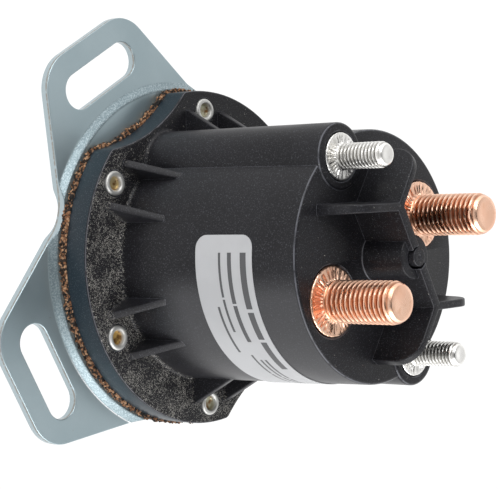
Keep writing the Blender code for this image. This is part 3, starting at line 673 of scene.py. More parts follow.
@dataclass
class GroupKit:
    """The shader groups that the finishes share, each built once."""

    made: dict[str, bpy.types.NodeTree] = field(default_factory=dict)

    @staticmethod
    def blank(name: str, inputs: dict[str, str], outputs: dict[str, str]) -> tuple[Graph, list[Socket]]:
        """Starts a group.

        Args:
            name: The group's name.
            inputs: The kind of each input, by its label.
            outputs: The kind of each output, by its label.

        Returns:
            The group's graph, and the sockets that its inputs come in by, in order.
        """
        tree = bpy.data.node_groups.new(name, "ShaderNodeTree")
        for way, labels in (("INPUT", inputs), ("OUTPUT", outputs)):
            for label, kind in labels.items():
                tree.interface.new_socket(label, in_out=way, socket_type="NodeSocket" + kind)
        graph = Graph(tree)
        source = graph.add("NodeGroupInput")
        return graph, [source.outputs[label] for label in inputs]

    def cloudy(self) -> bpy.types.NodeTree:
        """A colour that drifts between two, by noise on stretched coordinates.

        Returns:
            The group.
        """
        inputs = {**PATTERN_INPUTS, "First": "Color", "Second": "Color"}
        outputs = {"Colour": "Color", "Mask": "Float"}
        graph, (place, stretch, scale, first, second) = self.blank("cloudy_colour", inputs, outputs)
        mask = graph.ramp(graph.noise(graph.stretched(place, stretch), scale, 5.0), 0.35, 0.65)
        graph.add("NodeGroupOutput", {"Colour": graph.mix(mask, first, second), "Mask": mask})
        return graph.tree

    def grain(self) -> bpy.types.NodeTree:
        """A height from coarse and fine noise.

        Returns:
            The group.
        """
        inputs = {**PATTERN_INPUTS, "Fine Scale": "Float"}
        graph, (place, stretch, scale, fine) = self.blank("fine_grain", inputs, {"Height": "Float"})
        place = graph.stretched(place, stretch)
        height = graph.plus(graph.noise(place, scale, 3.0), graph.noise(place, fine, 2.0))
        graph.add("NodeGroupOutput", {"Height": graph.times(height, 0.5)})
        return graph.tree

    def lint(self) -> bpy.types.NodeTree:
        """A mask of short curled hairs and specks.

        A hair is a contour line of warped noise, kept where another noise is high. A speck is the middle
        of a Voronoi cell.

        Returns:
            The group.
        """
        inputs = {"Coordinate": "Vector", "Scale": "Float", "Amount": "Float"}
        graph, (place, scale, amount) = self.blank("lint_and_specks", inputs, {"Mask": "Float"})
        bent = graph.noise(place, scale, distortion=1.6)
        off = graph.math("ABSOLUTE", graph.less(bent, 0.5))
        hair = graph.less(1.0, graph.ramp(off, 0.003, 0.020))
        broken = graph.noise(place, graph.times(scale, 1.3), 1.0)
        least = graph.less(0.75, graph.times(amount, 0.34))
        kept = graph.ramp(broken, least, graph.plus(least, 0.06))
        cells = graph.add("ShaderNodeTexVoronoi", {"Vector": place, "Scale": graph.times(scale, 2.4)})
        size = graph.times(amount, 0.42)
        speck = graph.less(1.0, graph.ramp(cells.outputs["Distance"], graph.times(size, 0.4), size))
        both = graph.higher(graph.times(hair, kept), graph.times(speck, 0.6))
        graph.add("NodeGroupOutput", {"Mask": graph.times(both, graph.ramp(amount, 0.0, 0.15))})
        return graph.tree

    def edge_highlight_mask(self) -> bpy.types.NodeTree:
        """A mask of edges, where highlight lines are painted: where the normal averaged over a small radius
        leans from the face's own.

        Returns:
            The group.
        """
        graph, (low, high) = self.blank("painted_edge_highlights", {"Low": "Float", "High": "Float"}, {"Mask": "Float"})
        averaged = graph.add("ShaderNodeBevel", {"Radius": EDGE_HIGHLIGHT_RADIUS}, samples=4).outputs[0]
        own = graph.add("ShaderNodeNewGeometry").outputs["Normal"]
        lean = graph.less(1.0, graph.dot(averaged, own))
        graph.add("NodeGroupOutput", {"Mask": graph.ramp(lean, low, high)})
        return graph.tree

    def print_line(self) -> bpy.types.NodeTree:
        """A row of plain dashes on the label: between two angles, about one height, with gaps.

        Returns:
            The group.
        """
        inputs = {name: "Float" for name in ("Angle", "Height", *DASH_INPUTS)}
        graph, sockets = self.blank("printed_dashes", inputs, {"Mask": "Float"})
        angle, height, centre, half, start, end, dashes, fill = sockets
        row = graph.math("LESS_THAN", graph.math("ABSOLUTE", graph.less(height, centre)), half)
        after = graph.math("GREATER_THAN", angle, start)
        before = graph.math("LESS_THAN", angle, end)
        phase = graph.math("FRACT", graph.times(graph.ramp(angle, start, end), dashes))
        dash = graph.math("LESS_THAN", phase, fill)
        graph.add("NodeGroupOutput", {"Mask": graph.times(row, dash, graph.times(after, before))})
        return graph.tree

    def get(self, name: str) -> bpy.types.NodeTree:
        """A shared group, built when it is first asked for.

        Args:
            name: The name of the method that builds it.

        Returns:
            The group.
        """
        if name not in self.made:
            self.made[name] = getattr(self, name)()
        return self.made[name]


@dataclass(frozen=True)
class Paint(Graph):
    """A material's graph, with the coordinate that its patterns follow and the shared groups."""

    place: Socket
    kit: GroupKit

    def group(self, name: str, inputs: dict[str | int, Value]) -> bpy.types.NodeOutputs:
        """The outputs of a shared group placed in this material."""
        return self.add("ShaderNodeGroup", inputs, node_tree=self.kit.get(name)).outputs

    def from_axis(self) -> Socket:
        """The distance from the solenoid's axis."""
        level = self.stretched(self.place, (1, 1, 0))
        return self.add("ShaderNodeVectorMath", {0: level}, operation="LENGTH").outputs["Value"]

    def cloud(self, scale: float, low: float, high: float, detail: float = 2.0) -> Socket:
        """Noise as a mask, by a smooth step from the low level to the high one."""
        return self.ramp(self.noise(self.place, scale, detail), low, high)

    def lint(self, scale: float, amount: Value) -> Socket:
        """The mask of hairs and specks."""
        return self.group("lint", {"Coordinate": self.place, "Scale": scale, "Amount": amount})["Mask"]

    def attribute(self, name: str) -> Socket:
        """A number that the mesh keeps for each point."""
        return self.add("ShaderNodeAttribute", attribute_name=name).outputs["Fac"]


@dataclass(frozen=True)
class Finish:
    """A surface with a drifting colour, uneven gloss and fine grain. Scales are in cells a metre."""

    name: str
    first: Colour
    second: Colour
    roughness: tuple[float, float]
    metallic: float = 0.0
    scale: float = 90.0
    stretch: Colour = (1.0, 1.0, 1.0)
    grain: float = 900.0
    fine: float = 3200.0
    bump: float = 0.15
    depth: float = 0.00005
    specular: float = 0.5

    def colour(self, paint: Paint, drift: Socket) -> Socket:
        """The base colour. Finishes with more to show put it over the drifting one."""
        return drift

    def height(self, paint: Paint) -> Socket:
        """The height of the bump.

        Args:
            paint: The material's graph.

        Returns:
            The height.
        """
        inputs = {"Coordinate": paint.place, "Stretch": self.stretch}
        inputs |= {"Scale": self.grain, "Fine Scale": self.fine}
        return paint.group("grain", inputs)["Height"]

    def make(self, kit: GroupKit) -> bpy.types.Material:
        """Builds the material.

        Args:
            kit: The shared groups.

        Returns:
            The material.
        """
        material = bpy.data.materials.new(self.name)
        material.use_nodes = True
        tree = material.node_tree
        place = Graph(tree).coordinate("Object")
        paint = Paint(tree, place, kit)
        inputs = {"Coordinate": place, "Stretch": self.stretch, "Scale": self.scale}
        inputs |= {"First": rgba(self.first), "Second": rgba(self.second)}
        drift = paint.group("cloudy", inputs)
        low, high = self.roughness
        bump = {"Height": self.height(paint), "Strength": self.bump, "Distance": self.depth}
        given = {
            "Metallic": self.metallic,
            "Specular IOR Level": self.specular,
            "Base Color": self.colour(paint, drift["Colour"]),
            "Roughness": paint.plus(paint.times(drift["Mask"], high - low), low),
            "Normal": paint.add("ShaderNodeBump", bump).outputs["Normal"],
        }
        shader = tree.nodes["Principled BSDF"]
        for name, value in given.items():
            paint.fill(shader.inputs[name], value)
        return material


@dataclass(frozen=True)
class MouldedPlastic(Finish):
    """Black moulding with lint thick on the flange's face and grey speckle; painted highlight lines on its
    edges, a painted reflection on the flange's side and a painted lighter band low on the body. Heights in
    metres.
    """

    lint: Colour = (0.60, 0.58, 0.53)
    # grey of the real fine speckle, and of the painted highlight lines on the edges
    speckle_and_highlight_grey: Colour = (0.17, 0.175, 0.20)
    # painted bluish reflection on the flange's side, standing for a grazing reflection from below
    painted_rim_reflection: Colour = (0.016, 0.028, 0.038)
    # painted lighter colour for the lower side of the body, standing for light
    painted_lower_light: Colour = (0.062, 0.062, 0.066)
    flange: float = 0.0098
    deep: float = 0.0022
    front: float = 0.0530
    lint_scale: float = 1500.0
    least_lint: float = 0.035
    flange_side: Place = (0.0044, 0.0095)
    flange_edge: Place = (0.0095, 0.0100)
    front_edge: Place = (0.0522, 0.0538)
    barrier_edge: Place = (0.0626, 0.0633)
    soft: float = 0.0001

    def dust(self, paint: Paint) -> Socket:
        """Where lint lies: thickest on the flange's face and in the corner at the body's foot.

        Args:
            paint: The material's graph.

        Returns:
            The mask of the lint.
        """
        x, y, z = paint.parts(paint.place)
        above = paint.ramp(z, self.flange, self.flange + 0.0002)
        below = paint.less(1.0, paint.ramp(z, self.flange + 0.0004, self.flange + self.deep))
        side = paint.ramp(paint.plus(x, paint.times(y, 0.35)), 0.016, -0.012)
        side = paint.plus(paint.times(side, 0.75), 0.25)
        band = paint.times(above, below, side)
        front = paint.times(paint.ramp(z, self.front - 0.0002, self.front), 0.12)
        thick = paint.plus(paint.times(paint.cloud(210.0, 0.38, 0.60, 3.0), 0.40), 0.60)
        amount = paint.plus(paint.times(paint.higher(band, front), thick), self.least_lint)
        return paint.lint(self.lint_scale, amount)

    def colour(self, paint: Paint, drift: Socket) -> Socket:
        """Lint and grey speckle over the black, with painted highlight lines on the edges, a painted bluish
        reflection on the flange's side and a painted lighter band low on the body.

        Args:
            paint: The material's graph.
            drift: The drifting colour.

        Returns:
            The base colour.
        """
        _, _, z = paint.parts(paint.place)
        # painted highlight lines on sharp edges and rounded rims, broken up by noise
        edge = paint.group("edge_highlight_mask", {"Low": 0.003, "High": 0.07})["Mask"]
        rims = paint.times(self.rims(paint, z), 0.8)
        share = paint.times(paint.higher(edge, rims), paint.cloud(500.0, 0.25, 0.55, 4.0))
        salt = paint.times(paint.cloud(4200.0, 0.55, 0.75, 1.0), 0.30)
        # painted bluish reflection on the flange's side
        black = paint.mix(paint.window(z, *self.flange_side, self.soft), drift, self.painted_rim_reflection)
        # painted lighter band low on the body's side
        black = paint.mix(self.lower_light_band(paint), black, self.painted_lower_light)
        # painted highlight lines
        black = paint.mix(paint.times(share, 0.85), black, self.speckle_and_highlight_grey)
        # real fine grey speckle
        black = paint.mix(salt, black, self.speckle_and_highlight_grey)
        return paint.mix(self.dust(paint), black, self.lint)

    def lower_light_band(self, paint: Paint) -> Socket:
        """A painted lighter band that stands for light on the lower half of the body's side, by its turn
        about the axis.

        Args:
            paint: The material's graph.

        Returns:
            The mask of the painted band.
        """
        _, y, z = paint.parts(paint.place)
        low = paint.ramp(paint.math("DIVIDE", y, paint.from_axis()), 0.46, 0.20)
        side = paint.times(paint.ramp(z, 0.016, 0.026), paint.ramp(z, 0.0530, 0.0526))
        return paint.times(low, side)

    def rims(self, paint: Paint, z: Socket) -> Socket:
        """Where highlight lines are painted: the rounded outer edges of the flange, the front face and the
        barrier, found by their normal.

        Args:
            paint: The material's graph.
            z: The height of the place.

        Returns:
            The mask of the painted highlight lines.
        """
        _, _, up = paint.parts(paint.coordinate("Normal"))
        flange = paint.window(z, *self.flange_edge, self.soft)
        front = paint.window(z, *self.front_edge, self.soft)
        barrier = paint.times(paint.window(z, *self.barrier_edge, self.soft), 0.35)
        return paint.times(paint.window(up, 0.50, 0.66, 0.14), paint.plus(flange, front, barrier))


@dataclass(frozen=True)
class ZincPlate(Finish):
    """Bright zinc: rolled faces, a pebbled zone along the pressed step, brown traces on the sheared edges,
    and a painted highlight line along the step's foot.
    """

    edge: Colour = (0.44, 0.52, 0.55)
    rust: Colour = (0.24, 0.17, 0.11)
    dull: Colour = (0.21, 0.27, 0.295)
    spark: Colour = (0.38, 0.46, 0.49)
    # colour of the painted highlight line along the step's foot
    painted_foot_highlight: Colour = (0.95, 0.98, 1.0)
    pebbled: Place = (0.0344, 0.0361)
    pebble_scale: float = 3600.0
    pebble_height: float = 8.0
    # where the painted highlight line runs, from the axis
    foot: float = 0.0360
    traced: Place = (0.00135, 0.0017)

    def pebbles(self, paint: Paint) -> Socket:
        """How much a place lies in the pebbled zone, by its distance from the axis."""
        near, far = self.pebbled
        return paint.window(paint.from_axis(), near, far - 0.0003, 0.0003)

    def colour(self, paint: Paint, drift: Socket) -> Socket:
        """The sheared edges are found by their normal, which lies in the plane of the sheet.

        Args:
            paint: The material's graph.
            drift: The drifting colour.

        Returns:
            The base colour.
        """
        _, y, z = paint.parts(paint.place)
        _, _, up = paint.parts(paint.coordinate("Normal"))
        cut = paint.less(1.0, paint.ramp(paint.math("ABSOLUTE", up), 0.10, 0.55))
        traces = paint.times(paint.window(z, *self.traced, 0.0001), cut, paint.cloud(1500.0, 0.30, 0.52, 5.0))
        grit = paint.noise(paint.place, self.pebble_scale, 3.0)
        step = paint.mix(paint.ramp(grit, 0.42, 0.66), self.dull, self.spark)
        face = paint.mix(self.pebbles(paint), drift, step)
        # painted highlight line along the step's foot, on the lower side only, broken by the grit
        line = paint.window(paint.from_axis(), self.foot - 0.00005, self.foot + 0.00005, 0.00012)
        line = paint.times(line, paint.ramp(y, 0.004, -0.008), paint.ramp(grit, 0.30, 0.45))
        plate = paint.mix(cut, paint.mix(line, face, self.painted_foot_highlight), self.edge)
        plate = paint.mix(paint.times(traces, 0.6), plate, self.rust)
        return paint.mix(paint.times(paint.lint(600.0, 0.12), 0.3), plate, self.rust)

    def height(self, paint: Paint) -> Socket:
        """Fine grain, with coarser pebbles along the step.

        Args:
            paint: The material's graph.

        Returns:
            The height.
        """
        noise = paint.noise(paint.place, self.pebble_scale)
        coarse = paint.times(noise, self.pebble_height, self.pebbles(paint))
        return paint.plus(super().height(paint), coarse)


@dataclass(frozen=True)
class CorkSheet(Finish):
    """Cork crumbs in a black binder."""

    crumb: Colour = (0.25, 0.115, 0.055)
    pale: Colour = (0.56, 0.33, 0.19)
    crumb_scale: float = 1900.0
    left_out: float = 0.34

    def cells(self, paint: Paint) -> bpy.types.NodeOutputs:
        """Crumbs as Voronoi cells."""
        inputs = {"Vector": paint.place, "Scale": self.crumb_scale, "Randomness": 1.0}
        return paint.add("ShaderNodeTexVoronoi", inputs).outputs

    def colour(self, paint: Paint, drift: Socket) -> Socket:
        """Each crumb has its own shade, and the binder shows between them.

        Args:
            paint: The material's graph.
            drift: The binder's colour.

        Returns:
            The base colour.
        """
        cells = self.cells(paint)
        own = paint.add("ShaderNodeSeparateColor", {0: cells["Color"]}).outputs
        shade = paint.mix(paint.ramp(own[1], 0.3, 1.0), self.crumb, self.pale)
        kept = paint.math("GREATER_THAN", own[0], self.left_out)
        near = paint.less(1.0, paint.ramp(cells["Distance"], 0.45, 0.75))
        return paint.mix(paint.times(kept, near), drift, shade)

    def height(self, paint: Paint) -> Socket:
        """Crumbs stand proud of the binder."""
        return paint.less(1.0, self.cells(paint)["Distance"])


@dataclass(frozen=True)
class StudMetal(Finish):
    """Metal that is bright on its threads' crests and darker in their roots and the head's grooves, by a
    point attribute of depth: partly tarnish, partly painted shade.
    """

    # colour of the thread roots and head grooves: partly tarnish, partly painted shade
    root: Colour = (0.1, 0.1, 0.1)
    stain_and_shade: Colour = (0.1, 0.1, 0.1)

    def colour(self, paint: Paint, drift: Socket) -> Socket:
        """Tarnish patches, and roots and grooves darkened: partly tarnish, partly painted shade.

        Args:
            paint: The material's graph.
            drift: The clean metal's colour.

        Returns:
            The base colour.
        """
        # darker roots and grooves by depth: partly tarnish, partly painted shade
        low = paint.ramp(paint.attribute("stain_and_shade"), 0.10, 0.85)
        clean = paint.mix(paint.times(paint.cloud(700.0, 0.54, 0.72, 5.0), 0.45), drift, self.stain_and_shade)
        return paint.mix(paint.times(low, 0.85), clean, self.root)


@dataclass(frozen=True)
class RivetMetal(Finish):
    """A bright rolled ring round an amber cup, by the cup attribute."""

    cup: Colour = (0.60, 0.40, 0.13)
    dull_cup: Colour = (0.50, 0.49, 0.36)
    pit: Colour = (0.20, 0.10, 0.03)

    def colour(self, paint: Paint, drift: Socket) -> Socket:
        """Amber passivation in the cup, paler in some rivets, with darker patches.

        Args:
            paint: The material's graph.
            drift: The ring's colour.

        Returns:
            The base colour.
        """
        coat = paint.mix(paint.cloud(23.0, 0.46, 0.54), self.cup, self.dull_cup)
        amber = paint.mix(paint.cloud(900.0, 0.45, 0.68, 3.0), coat, self.pit)
        return paint.mix(paint.attribute("cup"), drift, amber)


@dataclass(frozen=True)
class LabelFilm(Finish):
    """A pale film with rows of plain dashes in place of print. A row holds the values of DASH_INPUTS."""

    ink: Colour = (0.045, 0.045, 0.05)
    ink_share: float = 0.92
    middle: float = math.radians(192.4)
    rows: tuple[tuple[float, ...], ...] = (
        (0.04130, 0.00072, -0.80, 0.40, 3, 0.90),
        (0.03800, 0.00048, -0.80, 0.02, 2, 0.94),
        (0.03870, 0.00026, 0.14, 0.82, 2, 0.92),
        (0.03760, 0.00026, 0.14, 0.74, 2, 0.92),
        (0.03560, 0.00028, -0.80, -0.08, 2, 0.93),
        (0.03630, 0.00024, 0.08, 0.66, 2, 0.93),
        (0.03390, 0.00028, -0.38, 0.10, 1, 0.97),
    )

    def colour(self, paint: Paint, drift: Socket) -> Socket:
        """Ink where any row has a dash. The angle is taken about the label's own middle.

        Args:
            paint: The material's graph.
            drift: The film's colour.

        Returns:
            The base colour.
        """
        turned = paint.add("ShaderNodeMapping", {"Vector": paint.place, "Rotation": (0, 0, -self.middle)})
        x, y, z = paint.parts(turned.outputs[0])
        angle = paint.math("ARCTAN2", y, x)
        ink: Value = 0.0
        for row in self.rows:
            inputs = {"Angle": angle, "Height": z, **dict(zip(DASH_INPUTS, row))}
            ink = paint.higher(ink, paint.group("print_line", inputs)["Mask"])
        return paint.mix(paint.times(ink, self.ink_share), drift, self.ink)


@dataclass(frozen=True)
class WoundWire(Finish):
    """Turns of enamelled wire, as ridges along the axis."""

    turns: float = 1900.0

    def height(self, paint: Paint) -> Socket:
        """A wave for each turn."""
        inputs = {"Vector": paint.place, "Scale": self.turns, "Distortion": 0.4}
        return paint.add("ShaderNodeTexWave", inputs, bands_direction="Z").outputs["Fac"]


def finishes(kit: GroupKit) -> Materials:
    """Builds every finish of the solenoid.

    Args:
        kit: The shared groups.

    Returns:
        The materials by their slots.
    """
    made = {
        Slot.ZINC: ZincPlate(
            "zinc_plate", (0.38, 0.475, 0.51), (0.43, 0.525, 0.56), (0.28, 0.38),
            metallic=0.75, scale=60, grain=1400, fine=5200,
        ),
        Slot.CORK: CorkSheet(
            "cork_sheet", (0.012, 0.010, 0.009), (0.03, 0.02, 0.015), (0.85, 1.0), bump=0.9, depth=0.0002
        ),
        Slot.MOULDING: MouldedPlastic(
            "black_moulding", (0.0105, 0.0103, 0.0125), (0.015, 0.0148, 0.0175), (0.30, 0.42),
            scale=55, grain=1800, bump=0.35, specular=0.22,
        ),
        Slot.RIVET: RivetMetal(
            "plated_rivet", (0.66, 0.66, 0.64), (0.56, 0.56, 0.54), (0.42, 0.55), metallic=0.65, scale=300
        ),
        # root colours of the studs: partly tarnish, partly painted shade in the roots
        Slot.COPPER: StudMetal(
            "bare_copper", (0.94, 0.61, 0.45), (0.90, 0.54, 0.38), (0.23, 0.36),
            metallic=1.0, scale=240, root=(0.40, 0.14, 0.055), stain_and_shade=(0.74, 0.39, 0.23),
        ),
        Slot.TIN: StudMetal(
            "tin_plate", (0.92, 0.91, 0.89), (0.86, 0.85, 0.82), (0.24, 0.37),
            metallic=1.0, scale=300, root=(0.28, 0.27, 0.25), stain_and_shade=(0.58, 0.56, 0.52),
        ),
        Slot.LABEL: LabelFilm(
            "label_film", (0.50, 0.505, 0.52), (0.55, 0.555, 0.57), (0.34, 0.44), bump=0.03
        ),
        Slot.IRON: Finish(
            "soft_iron", (0.30, 0.30, 0.31), (0.20, 0.20, 0.20), (0.35, 0.55),
            metallic=1.0, scale=120, stretch=(1, 1, 0.15),
        ),
        Slot.NYLON: Finish("natural_nylon", (0.62, 0.58, 0.48), (0.70, 0.66, 0.56), (0.40, 0.55)),
        Slot.WINDING: WoundWire(
            "enamelled_wire", (0.42, 0.13, 0.05), (0.52, 0.20, 0.09), (0.25, 0.35), metallic=0.8, bump=0.8
        ),
        Slot.TAPE: Finish(
            "coil_tape", (0.50, 0.34, 0.08), (0.58, 0.42, 0.13), (0.35, 0.50), stretch=(1, 1, 6)
        ),
        Slot.BRASS: Finish(
            "turned_brass", (0.66, 0.49, 0.22), (0.58, 0.40, 0.16), (0.25, 0.38),
            metallic=1.0, scale=150, stretch=(1, 1, 8),
        ),
        Slot.RUBBER: Finish("soft_rubber", (0.015, 0.015, 0.015), (0.028, 0.027, 0.026), (0.75, 0.90)),
        Slot.SPRING: Finish(
            "spring_wire", (0.36, 0.36, 0.37), (0.28, 0.28, 0.29), (0.22, 0.38), metallic=1.0, scale=300
        ),
    }
    return {slot: finish.make(kit) for slot, finish in made.items()}


@dataclass
class Bracket:
    """The pressed sheet: a raised disc, a step round it, and two slotted ears. Sizes in millimetres."""

    sheet: float = 1.9
    rise: float = 1.1
    disc: float = 34.0
    step_at: float = 34.5
    step_width: float = 1.4
    step_shift: float = 0.4
    bend: float = 0.10
    ears: tuple[float, ...] = (90, 180)
    reach: float = 50.2
    flare: float = 22.3
    corner: float = 8.0
    fillet: float = 9.5
    land: float = 0.05
    slot_at: float = 42.0
    slot: tuple[float, float] = (20.6, 7.2)
    rivet_hole: float = 1.9
    spacing: float = 0.45
    edge_round: tuple[float, float] = (0.18, 0.25)
    bend_rings: tuple[float, ...] = (-1.2, -0.6, -0.3, -0.18, -0.1, -0.04, 0.04, 0.12, 0.24, 0.42)
    ring_steps: int = 420

    def outline(self) -> np.ndarray:
        """Both ears and the disc between them.

        An ear's side is a line that touches the arc of its corner and the arc of its fillet.

        Returns:
            The outline at even steps, anticlockwise.
        """
        flare = math.radians(self.flare)
        normal = np.array([math.sin(flare), math.cos(flare)])
        lean = math.cos(math.radians(45) - math.atan2(normal[1], normal[0]))
        side = self.disc * lean - self.fillet * (1 - lean) - self.land
        along = math.sqrt((self.disc + self.fillet) ** 2 - (side + self.fillet) ** 2)
        fillet = normal * (side + self.fillet) + np.array([normal[1], -normal[0]]) * along
        at = self.reach - self.corner
        corner = (at, (side - self.corner - normal[0] * at) / normal[1])
        facing = math.atan2(normal[1], normal[0])
        leave = math.atan2(fillet[1], fillet[0])
        half = np.vstack([
            arc(corner, self.corner, 0, facing, 24),
            arc(tuple(fillet), self.fillet, facing - math.pi, leave - math.pi, 16),
        ])
        ear = np.vstack([half[::-1] * [1, -1], half])
        chain = []
        angles = [math.radians(a) for a in self.ears]
        for angle, following in zip(angles, angles[1:] + [angles[0] + TURN]):
            chain.append(swung(ear, angle))
            start, end = angle + leave, following - leave
            if end > start:
                chain.append(arc((0, 0), self.disc, start, end, 160)[1:-1])
        return evenly(np.vstack(chain), self.spacing)

    def holes(self) -> list[np.ndarray]:
        """The slots and the rivet holes.

        Returns:
            Their outlines, clockwise.
        """
        length, width = self.slot
        half = (length - width) / 2
        slot = np.vstack([
            arc((self.slot_at, half), width / 2, 0, math.pi, 24),
            arc((self.slot_at, -half), width / 2, math.pi, TURN, 24),
        ])
        loops = [evenly(swung(slot, math.radians(a))[::-1], self.spacing) for a in self.ears]
        return loops + [ring(centre, self.rivet_hole, 40) for centre in rivet_places()]

    def face(self, disc_height: float, ear_height: float, start: float, end: float) -> Height:
        """A face that falls from the disc's height to the ears' on a slope with small round corners.

        With t the share of the slope, it has fallen by h(t) - h(t - 1), where h(t) is
        (t + sqrt(t^2 + bend^2)) / 2: a hyperbola that runs from 0 into a straight rise.

        Args:
            disc_height: Its height on the disc.
            ear_height: Its height on the ears.
            start: Where the slope starts, from the axis.
            end: Where it ends.

        Returns:
            A function from places to heights.
        """
        def height(place: np.ndarray) -> np.ndarray:
            """The height by the distance from the axis.

            Args:
                place: Flat points.

            Returns:
                A height for each.
            """
            t = (np.linalg.norm(place, axis=-1) - start) / (end - start)
            fallen = 0.5 * (1 + np.sqrt(t**2 + self.bend**2) - np.sqrt((t - 1) ** 2 + self.bend**2))
            return disc_height + (ear_height - disc_height) * fallen
        return height

    def build(self, materials: Materials) -> bpy.types.Object:
        """The bracket, with rings of points where its faces bend.

        Args:
            materials: The finish of each slot.

        Returns:
            The piece.
        """
        end = self.step_at + self.step_width
        near = np.array(self.bend_rings)
        radii = np.concatenate([self.step_at + near, [(self.step_at + end) / 2], end - near[::-1]])
        points = np.vstack([ring((0, 0), radius, self.ring_steps) for radius in radii])
        plate = Plate(
            [self.outline()] + self.holes(),
            self.face(self.rise + self.sheet, self.sheet, self.step_at, end),
            self.face(self.rise, 0, self.step_at - self.step_shift, end - self.step_shift),
            *self.edge_round,
            inner=points,
            side_rows=3,
        )
        return put(mesh_of("bracket_plate", plate.shell()), Slot.ZINC, materials, "mounting_bracket")


def notched_outline(
    radius: float, floor: float, scallop: float, corner: float, spacing: float
) -> np.ndarray:
    """A circle with a scallop at +Y and at -Y, each joined to it by two round corners.

    Args:
        radius: The circle's radius.
        floor: How far a scallop's floor lies from the circle's centre.
        scallop: A scallop's radius.
        corner: The corners' radius.
        spacing: The step between points.

    Returns:
        The outline at even steps, anticlockwise.
    """
    centre = floor + scallop
    near, far = radius - corner, scallop + corner
    corner_t = (near**2 - far**2 + centre**2) / (2 * centre)
    corner_w = math.sqrt(near**2 - corner_t**2)
    meet_circle = math.atan2(corner_w, corner_t)
    meet_scallop = math.atan2(-corner_w, centre - corner_t)
    half = np.vstack([
        arc((centre, 0), scallop, math.pi, math.pi + meet_scallop, 40)[1:],
        arc((corner_t, corner_w), corner, meet_scallop, meet_circle, 12)[1:],
    ])
    notch = np.vstack([half[::-1] * [1, -1], [[floor, 0]], half])
    chain = []
    for angle in (math.pi / 2, 3 * math.pi / 2):
        chain.append(swung(notch, angle))
        chain.append(arc((0, 0), radius, angle + meet_circle, angle + math.pi - meet_circle, 160)[1:-1])
    return evenly(np.vstack(chain), spacing)


@dataclass
class CorkGasket:
    """The cork sheet between bracket and flange, with a crumbling edge. Sizes in millimetres."""

    low: float = 3.06
    high: float = 4.54
    radius: float = 34.0
    floor: float = 29.75
    scallop: float = 32.6
    corner: float = 1.9
    hole: float = 22.0
    spacing: float = 0.15
    rows: int = 9
    lumps: tuple[tuple[float, float, float], ...] = ((0.55, 5.0, 0.45), (0.85, 0.62, 0.5), (0.60, 0.30, 0.5))
    waves: Place = (0.30, 0.5)
    crumbly: Place = (28.6, 0.6)
    slack: float = 0.03

    def crumble(self, points: np.ndarray) -> np.ndarray:
        """Pushes the edge in and out by three sizes of lumps, and a little up and down.

        Each push is its reach times noise less its middle value. It fades out inwards over a narrow band.

        Args:
            points: The sheet's points.

        Returns:
            The points moved.
        """
        radius = np.hypot(points[:, 0], points[:, 1])
        start, width = self.crumbly
        weight = np.clip((radius - start) / width, 0, 1)
        push = np.zeros(len(points))
        for seed, (reach, cell, middle) in enumerate(self.lumps, start=1):
            push += reach * (lattice_noise(points, cell, seed) - middle)
        reach, cell = self.waves
        lift = reach * (lattice_noise(points, cell, len(self.lumps) + 1) - 0.5) * weight
        grown = points.copy()
        grown[:, :2] *= (1 + push * weight / radius)[:, None]
        grown[:, 2] = np.clip(grown[:, 2] + lift, self.low - self.slack, self.high + self.slack)
        return grown

    def build(self, materials: Materials) -> bpy.types.Object:
        """The gasket.

        Args:
            materials: The finish of each slot.

        Returns:
            The piece.
        """
        loops = [
            notched_outline(self.radius, self.floor, self.scallop, self.corner, self.spacing),
            ring((0, 0), self.hole, 120),
        ]
        plate = Plate(loops, flat(self.high), flat(self.low), 0.2, 0.2, side_rows=self.rows)
        mesh = mesh_of("gasket_sheet", plate.shell().moved(self.crumble))
        return put(mesh, Slot.CORK, materials, "cork_gasket")


